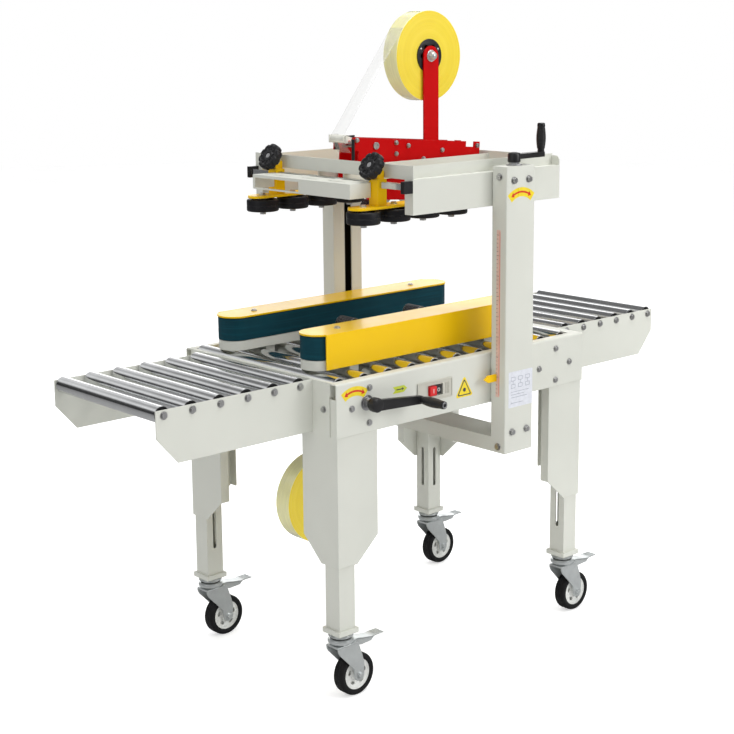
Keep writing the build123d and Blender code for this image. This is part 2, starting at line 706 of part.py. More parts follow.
def tape_head_frame(head, depth, roll, bar_outline, fit_out):
    """Two side plates on spacer rods, with the arm pivots, the tape roll's bracket and its own fittings."""
    notch = 14
    outline = [
        (-221, 0),
        (170, 0),
        (170, notch),
        (200, notch),
        (200, 0),
        (221, 0),
        (221, depth - 40),
        (181, depth),
        (-161, depth),
        (-201, depth - 40),
        (-201, 32),
        (-221, 32),
    ]
    with BuildPart() as frame:
        for y in (-PLATE_Y[0], PLATE_Y[1]):
            with BuildSketch(head.plane(y)):
                with BuildLine():
                    Polyline(*[head.at(*point) for point in outline], close=True)
                make_face()
            extrude(amount=PLATE_Y[1] - PLATE_Y[0])
        for along, back in SPACERS:
            head_rod(head, along, back, PIN_R, PLATE_Y[1])
        for sign in (-1, 1):
            head_rod(head, sign * ARM_PIVOT[0], ARM_PIVOT[1], PIN_R, PLATE_Y[1])
        head_rod(head, 0, 60, PIN_R, PLATE_Y[1])
        with BuildSketch(head.plane(-PLATE_Y[1])):
            with Locations(*[head.at(*point) for point in PLATE_BOLTS]):
                Circle(6)
            with Locations(head.at(-146, 18)):
                Circle(9)
        extrude(amount=3)
        with BuildSketch(side_view(-28)):
            with BuildLine():
                Polyline(*bar_outline, close=True)
            make_face()
            with Locations(roll):
                Circle(25)
        extrude(amount=PLATE_Y[0] - 28)
        rod("Y", (roll[0], -1.5, roll[1]), PIN_R, 53)
        bolt_head((roll[0], -PLATE_Y[0], roll[1]), (0, -1, 0), 9, 5)
        fit_out()
    return frame


def tape_roll(roll):
    """Roll of tape on its core holder, whose flange is on the operator's side."""
    with BuildPart() as tape:
        with BuildSketch(side_view(0)):
            with Locations(roll):
                Circle(ROLL_R)
                Circle(CORE_R, mode=Mode.SUBTRACT)
        extrude(amount=TAPE_HALF, both=True)
        with BuildSketch(side_view(0)):
            with Locations(roll):
                Circle(CORE_R)
                Circle(PIN_R + RUNNING, mode=Mode.SUBTRACT)
        extrude(amount=TAPE_HALF, both=True)
        for side in (NEAR, FAR):
            with BuildSketch(side_view(side * TAPE_HALF)):
                with Locations(roll):
                    with PolarLocations(22, 6):
                        Circle(7)
            extrude(amount=side * 18, mode=Mode.SUBTRACT)
        with BuildSketch(side_view(-TAPE_HALF)):
            with Locations(roll):
                Circle(CORE_R + 4)
                Circle(PIN_R + RUNNING, mode=Mode.SUBTRACT)
        extrude(amount=2.5)
    return tape


def tape_arm(head, sign):
    """Swing arm: two links, a pivot tube and a rubber roller on a cross axle."""
    pivot = head.at(sign * ARM_PIVOT[0], ARM_PIVOT[1])
    tip = head.at(sign * ARM_ROLLER[0], ARM_ROLLER[1])
    with BuildPart() as arm:
        for y in (-ARM_Y[0], ARM_Y[1]):
            link(pivot, tip, 11, head.plane(y), ARM_Y[1] - ARM_Y[0])
        head_rod(head, sign * ARM_PIVOT[0], ARM_PIVOT[1], 11, ARM_Y[1])
        head_rod(head, sign * ARM_PIVOT[0], ARM_PIVOT[1], PIN_R + RUNNING, PLATE_Y[1], Mode.SUBTRACT)
        head_rod(head, sign * ARM_ROLLER[0], ARM_ROLLER[1], ARM_ROLLER_R, ARM_Y[0] - 0.5)
        head_rod(head, sign * ARM_ROLLER[0], ARM_ROLLER[1], 5, ARM_Y[1])
    return arm


def cutter_arm(head):
    """Hinged cutter: pivot tube, two links and a toothed blade behind a guard plate."""
    with BuildPart() as cutter:
        head_rod(head, 0, 60, 10, 23)
        for y in (-19, 23):
            link(head.at(0, 60), head.at(0, 140), 8, head.plane(y), 4)
        with BuildSketch(head.plane(0)):
            with BuildLine():
                Polyline(head.at(-8, 132), head.at(8, 132), head.at(3, 160), head.at(-8, 150), close=True)
            make_face()
        extrude(amount=23, both=True)
        head_rod(head, 0, 60, PIN_R + RUNNING, PLATE_Y[1], Mode.SUBTRACT)
    return cutter


def upper_fittings():
    """Guide roller with its ears, the tape stop stud and the two pins that hang the head."""
    for side in (NEAR, FAR):
        block((262, 290), span(side, 28, 32), (1277, 1296))
    rod("Y", (269, 0, 1287), 5, 62)
    rod("Y", (269, 0, 1287), 10, 55)
    rod("Z", (272, -46, 1262), 4, 50)
    rod("Y", (272, -39, 1280), 4, 14)
    head_rod(UPPER, -170, 70, PIN_R, HANGER_Y[0])
    head_rod(UPPER, 185, 60, PIN_R, HANGER_Y[0])


def lower_fittings():
    """Feet of the side plates, which rest on the bed's cross members and clear its guide shafts."""
    first = CROSS_TUBE_X[0]
    last = CROSS_TUBE_X[1] + CROSS_TUBE
    bottom = CROSS_TUBE_TOP
    feet = [
        (first, bottom),
        (last, bottom),
        (last, bottom + 20),
        (last - 62, bottom + 30),
        (first + 57, bottom + 30),
        (first, bottom + 20),
    ]
    for y in (-PLATE_Y[0], PLATE_Y[1]):
        plate(feet, side_view(y), PLATE_Y[1] - PLATE_Y[0])
    for x in SHAFT_X:
        rod("Y", (x, 0, SHAFT_Z), SHAFT_R + 1, 80, Mode.SUBTRACT)


UPPER_BRACKET = ((524, 1200), (575, 1200), (575, 1479), (524, 1479))
LOWER_BRACKET = ((184, 740), (224, 740), (224, 620), (205, 405), (155, 405), (184, 620))
pieces["upper_tape_frame"] = tape_head_frame(UPPER, UPPER_DEPTH, UPPER_ROLL, UPPER_BRACKET, upper_fittings)
pieces["upper_tape_roll"] = tape_roll(UPPER_ROLL)
pieces["lower_tape_frame"] = tape_head_frame(
    LOWER, LOWER_DEPTH, LOWER_ROLL, LOWER_BRACKET, lower_fittings
)
pieces["lower_tape_roll"] = tape_roll(LOWER_ROLL)

for label, head in (("upper", UPPER), ("lower", LOWER)):
    pieces[f"{label}_front_arm"] = tape_arm(head, -1)
    pieces[f"{label}_rear_arm"] = tape_arm(head, 1)
    pieces[f"{label}_cutter_arm"] = cutter_arm(head)


# ---------------------------------------------------------------- side belts

UNIT_MID = (PULLEY_X[0] + PULLEY_X[1]) / 2
UNIT_SPAN = PULLEY_X[1] - PULLEY_X[0]
LOWER_BAR = (690, 726)


def stadium(y, z, radius, height, mode=Mode.ADD):
    """Straight-sided loop shape round both pulleys, from a height upwards."""
    with BuildSketch(Plane.XY.offset(z)) as loop:
        with Locations((UNIT_MID, y)):
            SlotOverall(UNIT_SPAN + 2 * radius, 2 * radius)
    extrude(loop.sketch, amount=height, mode=mode)


def belt_frame(side):
    """Belt unit's base, slider box, pulley axles, posts between the rollers, and the bored lower bar."""
    y = side * BELT_Y
    with BuildPart() as unit:
        stadium(y, BASE_Z[0], 41, BASE_Z[1] - BASE_Z[0])
        stadium(y, BASE_Z[0] - 1, 38, BASE_Z[1] - BASE_Z[0] - 2, Mode.SUBTRACT)
        block((115, 670), (y - 36.5, y + 36.5), (BASE_Z[1] - 3, COVER_Z[0]))
        block((118, 667), (y - 33.5, y + 33.5), (BASE_Z[1], COVER_Z[0] - 3), Mode.SUBTRACT)
        for x in PULLEY_X:
            rod("Z", (x, y, 829), SCREW_R, 59)
        for x in SHAFT_X:
            block((x - 14, x + 14), (y - 25, y + 25), (LOWER_BAR[0], BASE_Z[1] - 1))
        block((78, 620), (y - 25, y + 25), LOWER_BAR)
        for x in SHAFT_X:
            rod("Y", (x, y, SHAFT_Z), SHAFT_R + RUNNING, 60, Mode.SUBTRACT)
        rod("Y", (WIDTH_SCREW[0], y, WIDTH_SCREW[1]), SCREW_R + RUNNING, 60, Mode.SUBTRACT)
        rod("X", (560, y, 829), 25, 200)
        block((640, 664), (y - 22, y + 22), (BASE_Z[1] - 1, 854))
    return unit


def belt_guard(side):
    """Top cover of a belt unit with the guard plate folded down on its outer side."""
    y = side * BELT_Y
    with BuildPart() as guard:
        stadium(y, COVER_Z[0], 44, COVER_Z[1] - COVER_Z[0])
        block((43, 745), span(side, BELT_Y, BELT_Y + 48), COVER_Z)
        block((43, 745), span(side, BELT_Y + 45, BELT_Y + 48), (780, COVER_Z[1]))
        for x in (117, 655):
            bolt_head((x, y, COVER_Z[1]), (0, 0, 1), 6, 3)
    return guard


def drive_belt(side):
    """Flat belt loop round the two pulleys."""
    y = side * BELT_Y
    with BuildPart() as belt:
        stadium(y, BELT_Z[0], BELT_OUT, BELT_Z[1] - BELT_Z[0])
        stadium(y, BELT_Z[0] - 1, BELT_IN, BELT_Z[1] - BELT_Z[0] + 2, Mode.SUBTRACT)
    return belt


def belt_pulley(x, side):
    """Pulley on a vertical axle."""
    with BuildPart() as pulley:
        with BuildSketch(Plane.XY.offset(BELT_Z[0])):
            with Locations((x, side * BELT_Y)):
                Circle(PULLEY_R)
                Circle(SCREW_R + RUNNING, mode=Mode.SUBTRACT)
        extrude(amount=BELT_Z[1] - BELT_Z[0])
    return pulley


for side, label in ((NEAR, "near"), (FAR, "far")):
    pieces[f"{label}_belt_frame"] = belt_frame(side)
    pieces[f"{label}_belt_guard"] = belt_guard(side)
    pieces[f"{label}_belt"] = drive_belt(side)
    pieces[f"{label}_idler_pulley"] = belt_pulley(PULLEY_X[0], side)
    pieces[f"{label}_drive_pulley"] = belt_pulley(PULLEY_X[1], side)

WIDTH_ARM = 136
WIDTH_ARM_DROP = 10
with BuildPart() as width_crank:
    crank_x, crank_z = WIDTH_SCREW
    rod("Y", (crank_x, -10, crank_z), SCREW_R, 540)
    rod("Y", (crank_x, -303, crank_z), 12, 50)
    rod("Y", (crank_x, -312, crank_z), 17, 32)
    tip = (crank_x + WIDTH_ARM, crank_z - WIDTH_ARM_DROP)
    link(WIDTH_SCREW, tip, 9, side_view(-316), 11)
    with BuildSketch(Plane.XY.offset(tip[1])):
        with BuildLine():
            Polyline(
                (tip[0], -322),
                (tip[0] + 8, -322),
                (tip[0] + 12, -345),
                (tip[0] + 12, -380),
                (tip[0] + 9, -402),
                (tip[0], -402),
                close=True,
            )
        make_face()
    revolve(axis=Axis((tip[0], 0, tip[1]), (0, 1, 0)))
pieces["width_crank"] = width_crank


# ---------------------------------------------------------------- switch and small fittings

ROCKER = (42, 22)
ROCKER_PIVOT_Y = -280
with BuildPart() as switch_rocker:
    with BuildSketch(side_view(-BED_HALF + 14)):
        with Locations(SWITCH_MID):
            Rectangle(*ROCKER)
    extrude(amount=17)
    raised_z = (SWITCH_MID[1] - ROCKER[1] / 2, SWITCH_MID[1] + ROCKER[1] / 2)
    block((SWITCH_MID[0] - ROCKER[0] / 2, SWITCH_MID[0]), (-294, -288), raised_z)
    rod("Z", (SWITCH_MID[0], ROCKER_PIVOT_Y, SWITCH_MID[1]), 2, 26)
pieces["switch_rocker"] = switch_rocker

NEAR_BOLTS = (
    (46, 704),
    (100, 745),
    (99, 663),
    (744, 740),
    (744, 658),
    (797, 698),
    (681, 696),
)
with BuildPart() as frame_fittings:
    for x, z in NEAR_BOLTS:
        bolt_head((x, -BED_HALF, z), (0, -1, 0), 6, 4)
        bolt_head((x, BED_HALF, z), (0, 1, 0), 6, 4)
    for side in (NEAR, FAR):
        for z in (571, 1190):
            for x in (524, 576):
                bolt_head((x, side * COLUMN_OUT, z), (0, side, 0), 7, 6)
        for z in (533, 1198):
            bolt_head((COLUMN_X[0], side * 315, z), (-1, 0, 0), 7, 4)
        for x in INFEED_XS + OUTFEED_XS:
            bolt_head((x, side * WING_HALF, ROLLER_Z), (0, side, 0), 7, 4)
        for x, direction in ((0, -1), (BED_LENGTH, 1)):
            bolt_head((x, side * 242, END_BOLT_Z), (direction, 0, 0), 6, 4)
    with BuildSketch(side_view(-BED_HALF)):
        with Locations(SWITCH_MID):
            RectangleRounded(116, 48, 3)
            Rectangle(*SWITCH_HOLE, mode=Mode.SUBTRACT)
    extrude(amount=2)
    bolt_head((GLAND[0], BED_HALF, GLAND[1]), (0, 1, 0), 13, 6)
    rod("Y", (GLAND[0], BED_HALF + 12, GLAND[1]), 10, 18)
    rod("Y", (GLAND[0], BED_HALF + 16, GLAND[1]), 5, 16, Mode.SUBTRACT)
    with BuildSketch(side_view(-305)):
        with BuildLine():
            Polyline((499, 698), (499, 716), (470, 716), (456, 707), (470, 698), close=True)
        make_face()
    extrude(amount=5)
pieces["frame_fittings"] = frame_fittings


for name, piece in pieces.items():
    placed = piece.part.moved(TO_ROW)
    placed.label = name
    export_step(placed, f"parts/{name}.step")
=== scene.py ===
from math import atan2, cos, pi, radians, sin, sqrt

import bmesh
import bpy
from mathutils import Matrix, Vector


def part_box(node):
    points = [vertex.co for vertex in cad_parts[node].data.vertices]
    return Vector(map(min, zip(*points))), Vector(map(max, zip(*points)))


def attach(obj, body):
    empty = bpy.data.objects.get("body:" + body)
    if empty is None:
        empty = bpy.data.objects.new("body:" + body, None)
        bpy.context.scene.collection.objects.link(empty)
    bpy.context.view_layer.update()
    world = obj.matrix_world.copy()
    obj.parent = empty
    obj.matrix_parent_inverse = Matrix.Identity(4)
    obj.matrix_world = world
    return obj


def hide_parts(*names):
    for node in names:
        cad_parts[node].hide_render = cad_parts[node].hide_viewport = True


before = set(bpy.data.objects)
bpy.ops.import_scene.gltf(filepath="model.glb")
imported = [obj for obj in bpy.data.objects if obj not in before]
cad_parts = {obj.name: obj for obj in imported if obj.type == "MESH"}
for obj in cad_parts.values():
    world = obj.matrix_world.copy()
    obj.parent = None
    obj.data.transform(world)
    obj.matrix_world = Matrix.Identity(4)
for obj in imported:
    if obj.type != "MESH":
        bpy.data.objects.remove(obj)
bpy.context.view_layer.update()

# Sizes below are in millimetres in the machine's own frame: X from the infeed end of the bed towards
# the outfeed, Y from the centre plane with the operator's side negative, and Z from the floor.
MM = 0.001
NEAR_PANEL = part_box("near_side_panel")
FAR_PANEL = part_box("far_side_panel")
BED_START = NEAR_PANEL[0].x
CENTRE_PLANE = (NEAR_PANEL[0].y + FAR_PANEL[1].y) / 2
SIDES = (("near", -1), ("far", 1))


def at(x, y, z):
    """Machine millimetres to the row frame's metres."""
    return Vector((BED_START + x * MM, CENTRE_PLANE + y * MM, z * MM))


def machine(point):
    """Row frame metres to machine millimetres."""
    return Vector(((point.x - BED_START) / MM, (point.y - CENTRE_PLANE) / MM, point.z / MM))


def limits(node):
    """Lowest and highest corner of a CAD node in machine millimetres."""
    low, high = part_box(node)
    return machine(low), machine(high)


def middle(node):
    low, high = limits(node)
    return (low + high) / 2


def half_size(node):
    low, high = limits(node)
    return (high - low) / 2


def show(name, data):
    """New object in the scene."""
    made = bpy.data.objects.new(name, data)
    bpy.context.scene.collection.objects.link(made)
    return made


# ------------ materials


def shade(colour, factor):
    return tuple(min(1.0, part * factor) for part in colour[:3]) + (1.0,)


class Surface:
    """A Principled material whose textures are set out in the object's own space."""

    def __init__(self, name, **constants):
        self.material = bpy.data.materials.new(name)
        self.material.use_nodes = True
        self.tree = self.material.node_tree
        self.shader = self.tree.nodes["Principled BSDF"]
        for key, value in constants.items():
            self.shader.inputs[key.replace("_", " ")].default_value = value
        self.place = self.node("ShaderNodeTexCoord").outputs["Object"]

    def node(self, kind, **settings):
        made = self.tree.nodes.new(kind)
        for key, value in settings.items():
            setattr(made, key, value)
        return made

    def put(self, socket, value):
        if isinstance(value, bpy.types.NodeSocket):
            self.tree.links.new(value, socket)
        else:
            socket.default_value = value

    def fed(self, kind, inputs, **settings):
        """Outputs of a new node, with values or links for its inputs, by name or by place in the list."""
        made = self.node(kind, **settings)
        for key, value in inputs.items():
            self.put(made.inputs[key], value)
        return made.outputs

    def calc(self, operation, *values):
        return self.fed("ShaderNodeMath", dict(enumerate(values)), operation=operation)[0]

    def vector(self, operation, *values):
        return self.fed("ShaderNodeVectorMath", dict(enumerate(values)), operation=operation)

    def between(self, value, low, high, first=0.0, last=1.0):
        values = dict(enumerate((value, low, high, first, last)))
        return self.fed("ShaderNodeMapRange", values)["Result"]

    def mix(self, share, first, second):
        return self.fed("ShaderNodeMix", {0: share, 6: first, 7: second}, data_type="RGBA")[2]

    def noise(self, scale, detail=2.0, stretch=(1, 1, 1)):
        place = self.fed("ShaderNodeMapping", {"Scale": stretch, "Vector": self.place})[0]
        inputs = {"Scale": scale, "Detail": detail, "Vector": place}
        return self.fed("ShaderNodeTexNoise", inputs)["Fac"]

    def radius_from(self, point, across):
        """Distance in metres from the axis through a point; across picks the two axes it is measured on."""
        away = self.vector("SUBTRACT", self.place, point)[0]
        kept = self.vector("MULTIPLY", away, across)[0]
        return self.vector("LENGTH", kept)["Value"]

    def edges(self, radius):
        """How near a point is to a sharp edge, and a normal that rounds that edge."""
        rounded = self.fed("ShaderNodeBevel", {"Radius": radius}, samples=4)["Normal"]
        true = self.node("ShaderNodeNewGeometry").outputs["Normal"]
        alike = self.vector("DOT_PRODUCT", rounded, true)["Value"]
        return self.between(alike, 0.99, 0.8), rounded

    def bump(self, height, strength, depth, normal=None):
        inputs = {"Strength": strength, "Distance": depth, "Height": height}
        if normal is not None:
            inputs["Normal"] = normal
        self.put(self.shader.inputs["Normal"], self.fed("ShaderNodeBump", inputs)[0])

    def colour(self, value):
        self.put(self.shader.inputs["Base Color"], value)

    def rough(self, value):
        self.put(self.shader.inputs["Roughness"], value)


def powder_coat(name, colour, roughness, chipped_and_highlit_edge, coat=0.0, shine=0.4):
    """Sprayed powder coat: orange-peel skin, soft patches, and lighter edge patches that are partly chipping
    and partly a painted highlight.
    """
    s = Surface(name, Coat_Weight=coat, Coat_Roughness=0.12, Specular_IOR_Level=shine)
    edge, rounded = s.edges(0.0013)
    patches = s.between(s.noise(2.4, 4), 0.35, 0.65)
    tint = s.mix(patches, shade(colour, 0.95), shade(colour, 1.04))
    # Edges lighter in patches: partly chipped paint, partly a painted highlight along the edges.
    edge_chips_and_highlight = s.calc("MULTIPLY", edge, s.between(s.noise(60, 5), 0.52, 0.6))
    s.colour(s.mix(edge_chips_and_highlight, tint, chipped_and_highlit_edge))
    s.rough(s.between(s.noise(12, 3), 0.3, 0.7, roughness - 0.03, roughness + 0.04))
    s.bump(s.noise(1300, 2), 0.12, 0.0001, rounded)
    return s.material


def turned_metal(name, colour, roughness, grooves, stretch):
    """Bright metal with fine marks; stretch sets which way they run."""
    s = Surface(name, Metallic=1.0)
    rounded = s.edges(0.0008)[1]
    marks = s.noise(grooves, 3, stretch)
    stains = s.between(s.noise(14, 4), 0.35, 0.7)
    s.colour(s.mix(stains, shade(colour, 0.9), shade(colour, 1.03)))
    s.rough(s.between(marks, 0.3, 0.7, roughness - 0.04, roughness + 0.07))
    s.bump(marks, 0.08, 0.00005, rounded)
    return s.material


def zinc_plate(name, colour):
    """Bright zinc plating with a faint crystal spangle, cloudy patches and edges painted lighter as a
    painted highlight.
    """
    s = Surface(name, Metallic=0.65)
    edge, rounded = s.edges(0.0008)
    crystals = s.fed("ShaderNodeTexVoronoi", {"Scale": 230, "Vector": s.place})["Distance"]
    cloud = s.between(s.noise(38, 4), 0.3, 0.7)
    spangle = s.between(crystals, 0.0, 0.9)
    tint = s.mix(cloud, shade(colour, 0.92), shade(colour, 1.06))
    # Edges painted lighter: a painted highlight along them.
    s.colour(s.mix(s.calc("MULTIPLY", edge, 0.5), tint, shade(colour, 1.35)))
    s.rough(s.between(spangle, 0.0, 1.0, 0.27, 0.33))
    s.bump(spangle, 0.01, 0.00005, rounded)
    return s.material


def moulded(name, colour, roughness, grain=900, depth=0.0001, edge_lightening=0.08, shine=0.5):
    """Moulded plastic or rubber with a fine grain and its edges lightened in patches."""
    s = Surface(name, Specular_IOR_Level=shine)
    edge, rounded = s.edges(0.001)
    patches = s.between(s.noise(25, 4), 0.3, 0.7)
    tint = s.mix(patches, shade(colour, 0.8), shade(colour, 1.15))
    lightened_edge = tuple(part * (1 - edge_lightening) + edge_lightening for part in colour[:3]) + (1.0,)
    # Edges lightened in patches.
    s.colour(s.mix(s.calc("MULTIPLY", edge, s.between(s.noise(90, 3), 0.4, 0.6)), tint, lightened_edge))
    s.rough(s.between(s.noise(60, 3), 0.3, 0.7, roughness - 0.06, roughness + 0.1))
    s.bump(s.noise(grain, 3), 0.25, depth, rounded)
    return s.material


def belt_fabric(name, colour):
    """Drive belt: a fine crossed grip pattern with scuffs along its run."""
    s = Surface(name, Specular_IOR_Level=0.12)
    waves = []
    for scale, run in ((190, "DIAGONAL"), (150, "Z")):
        inputs = {"Scale": scale, "Vector": s.place}
        waves.append(s.fed("ShaderNodeTexWave", inputs, bands_direction=run)["Fac"])
    weave = s.calc("MULTIPLY", *waves)
    scuffs = s.between(s.noise(30, 5, (0.15, 0.15, 6)), 0.5, 0.75)
    broad = s.between(s.noise(9, 3), 0.3, 0.7)
    tint = s.mix(broad, shade(colour, 0.85), shade(colour, 1.15))
    worn = s.mix(s.calc("MULTIPLY", scuffs, 0.35), tint, shade(colour, 2.2))
    s.colour(s.mix(s.calc("MULTIPLY", weave, 0.25), worn, shade(colour, 1.5)))
    s.rough(s.between(scuffs, 0.0, 1.0, 0.5, 0.66))
    s.bump(weave, 0.35, 0.0002)
    return s.material


def wound_tape(name, colour, centre, deep):
    """Side of a tape roll: fine winding rings round the axis, seen through the clear film."""
    s = Surface(name, Coat_Weight=0.4, Coat_Roughness=0.2, Subsurface_Weight=0.25)
    s.shader.inputs["Subsurface Radius"].default_value = (0.02, 0.016, 0.004)
    s.shader.inputs["Subsurface Scale"].default_value = 0.4
    radius = s.radius_from(centre, (1, 0, 1))
    layers = []
    for scale, detail in ((900, 4), (90, 2)):
        inputs = {"Scale": scale, "Detail": detail, "W": radius}
        layers.append(s.fed("ShaderNodeTexNoise", inputs, noise_dimensions="1D")["Fac"])
    rings, bands = layers
    mottle = s.between(s.noise(11, 3), 0.3, 0.7, 0.0, 0.35)
    tint = s.mix(s.between(bands, 0.3, 0.7, 0.0, 0.6), colour, deep)
    s.colour(s.mix(mottle, tint, shade(colour, 1.12)))
    s.rough(s.between(rings, 0.3, 0.7, 0.22, 0.4))
    s.bump(rings, 0.3, 0.0002)
    return s.material


def tape_skin(name, colour):
    """Outer turn of a tape roll: clear glossy film over pale yellow, with lengthwise streaks."""
    s = Surface(name, Coat_Weight=0.7, Coat_Roughness=0.08, Subsurface_Weight=0.3)
    s.shader.inputs["Subsurface Radius"].default_value = (0.02, 0.018, 0.006)
    s.shader.inputs["Subsurface Scale"].default_value = 0.4
    streaks = s.noise(60, 3, (0.3, 14, 0.3))
    s.colour(s.mix(s.between(streaks, 0.35, 0.65), shade(colour, 0.9), shade(colour, 1.06)))
    s.rough(s.between(s.noise(20, 2), 0.3, 0.7, 0.16, 0.3))
    s.bump(streaks, 0.1, 0.0002)
    return s.material


def clear_film(name):
    """Single thickness of clear tape between the roll and the head."""
    s = Surface(name, Alpha=0.16, Coat_Weight=0.4, Coat_Roughness=0.1)
    streaks = s.noise(20, 2, (0.5, 12, 0.5))
    s.colour(s.mix(streaks, (0.78, 0.79, 0.76, 1), (0.95, 0.95, 0.93, 1)))
    s.rough(s.between(streaks, 0.3, 0.7, 0.08, 0.22))
    s.bump(streaks, 0.06, 0.0002)
    return s.material


def printed_film(name, colour):
    """Printed sticker film: even ink with faint mottling under a thin gloss."""
    s = Surface(name, Coat_Weight=0.3, Coat_Roughness=0.25)
    mottle = s.between(s.noise(110, 3), 0.3, 0.7)
    s.colour(s.mix(mottle, shade(colour, 0.93), shade(colour, 1.05)))
    s.rough(s.between(s.noise(40, 2), 0.3, 0.7, 0.27, 0.4))
    s.bump(s.noise(700, 2), 0.08, 0.00005)
    return s.material


UPPER_AXIS = middle("upper_tape_roll")
LOWER_AXIS = middle("lower_tape_roll")
BEIGE = (0.705, 0.715, 0.65, 1)
TAPE_YELLOW = (0.93, 0.72, 0.045, 1)
TAPE_DEEP = (0.83, 0.62, 0.012, 1)

beige = powder_coat("beige_coat", BEIGE, 0.46, (0.83, 0.82, 0.76, 1))
beige_plate = powder_coat("switch_surround", (0.58, 0.57, 0.5, 1), 0.4, (0.7, 0.7, 0.66, 1))
yellow = powder_coat("yellow_coat", (0.99, 0.6, 0.001, 1), 0.32, (0.96, 0.75, 0.2, 1), 0.3, 0.15)
red = powder_coat("red_coat", (0.56, 0.001, 0.002, 1), 0.34, (0.7, 0.12, 0.1, 1), 0.02, 0.08)
# Near-black coat for places that only ever sit in shade: painted shade.
shadow_coat = powder_coat("painted_shade_black", (0.025, 0.024, 0.022, 1), 0.6, (0.06, 0.06, 0.06, 1))
chrome = turned_metal("roller_chrome", (0.72, 0.73, 0.74), 0.15, 40, (0.3, 22, 0.3))
pulley_metal = turned_metal("pulley_aluminium", (0.75, 0.76, 0.78), 0.28, 40, (0.3, 0.3, 22))
shaft_steel = turned_metal("shaft_steel", (0.62, 0.62, 0.63), 0.24, 40, (22, 0.3, 0.3))
bolt_steel = turned_metal("bolt_steel", (0.52, 0.52, 0.52), 0.3, 120, (1, 1, 1))
thread_steel = turned_metal("thread_steel", (0.45, 0.45, 0.46), 0.32, 260, (1, 1, 1))
zinc = zinc_plate("zinc_plating", (0.62, 0.65, 0.65))
black_plastic = moulded("black_plastic", (0.014, 0.014, 0.016, 1), 0.38, shine=0.3)
grip_plastic = moulded("grip_plastic", (0.014, 0.014, 0.015, 1), 0.34, grain=500, shine=0.4)
black_rubber = moulded("black_rubber", (0.01, 0.01, 0.013, 1), 0.42, grain=650, shine=0.3)
tyre_rubber = moulded("tyre_rubber", (0.009, 0.009, 0.01, 1), 0.5, grain=420, depth=0.0002, shine=0.25)
hub_plastic = moulded("hub_plastic", (0.8, 0.81, 0.78, 1), 0.4, grain=500)
white_nylon = moulded("white_nylon", (0.78, 0.77, 0.7, 1), 0.36, grain=500)
core_board = moulded("core_board", (0.46, 0.35, 0.22, 1), 0.75, grain=700)
switch_red = moulded("switch_red", (0.66, 0.012, 0.014, 1), 0.3, grain=800)
switch_black = moulded("switch_black", (0.02, 0.02, 0.02, 1), 0.32, grain=800)
belt_teal = belt_fabric("belt_teal", (0.0035, 0.048, 0.068, 1))
upper_side = wound_tape("upper_roll_side", TAPE_YELLOW, at(*UPPER_AXIS), TAPE_DEEP)
lower_side = wound_tape("lower_roll_side", TAPE_YELLOW, at(*LOWER_AXIS), TAPE_DEEP)
tape_outer = tape_skin("tape_outer", (0.93, 0.89, 0.5, 1))
film = clear_film("tape_film")
sticker_yellow = printed_film("sticker_yellow", (0.93, 0.72, 0.02, 1))
sticker_red = printed_film("sticker_red", (0.72, 0.03, 0.008, 1))
sticker_white = printed_film("sticker_white", (0.76, 0.78, 0.84, 1))
sticker_line = printed_film("sticker_line", (0.3, 0.32, 0.4, 1))
sticker_ink = printed_film("sticker_ink", (0.06, 0.06, 0.07, 1))
sticker_green = printed_film("sticker_green", (0.62, 0.7, 0.05, 1))
sticker_pink = printed_film("sticker_pink", (0.8, 0.55, 0.46, 1))


# ------------ CAD nodes that stay


def dress(node, main, *parts):
    """Gives a CAD node its material, and other materials to the faces that each test picks."""
    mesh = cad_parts[node].data
    mesh.materials.clear()
    mesh.materials.append(main)
    for polygon in mesh.polygons:
        polygon.material_index = 0
    for index, (other, test) in enumerate(parts, start=1):
        mesh.materials.append(other)
        for polygon in mesh.polygons:
            if test(machine(polygon.center)):
                polygon.material_index = index


def near_line(point, line, radius, axes):
    """True where a point is within a radius of a line along one axis, given on the other two axes."""
    return sqrt(sum((point[axis] - place) ** 2 for axis, place in zip(axes, line))) < radius


CAP = 2.2


def roller_ends(inner, outer):
    """Black end caps and steel axles of a row of rollers, as (material, test) pairs."""
    return (
        (black_plastic, lambda p: not inner + CAP < abs(p.y) < outer - CAP),
        (bolt_steel, lambda p: not inner < abs(p.y) < outer),
    )


XZ = (0, 2)
XY = (0, 1)
SHAFT_X = (147, 603)
SHAFT_Z = 700
SHAFT_REACH = 10.6

for node in ("near_side_panel", "far_side_panel", "infeed_wing_frame", "outfeed_wing_frame"):
    dress(node, beige)
for node in ("leg_covers", "inner_legs", "column_cross_beam", "head_frame"):
    dress(node, beige)
guide_shafts = (
    shaft_steel,
    lambda p: any(near_line(p, (x, SHAFT_Z), SHAFT_REACH, XZ) for x in SHAFT_X),
)
dress("bed_cross_members", beige, guide_shafts)
dress("bed_rollers", chrome, *roller_ends(45, 258))
dress("infeed_rollers", chrome, *roller_ends(-1, 196))
dress("outfeed_rollers", chrome, *roller_ends(-1, 196))

# The inside walls of the hollow column, seen through its slot, are painted near black: painted shade.
column_inside = (
    shadow_coat,
    lambda p: 501 < p.x < 597 and 294.5 < abs(p.y) < 335.5 and 520 < p.z < 1221,
)
belt_shafts = (shaft_steel, lambda p: p.z > 858.5)
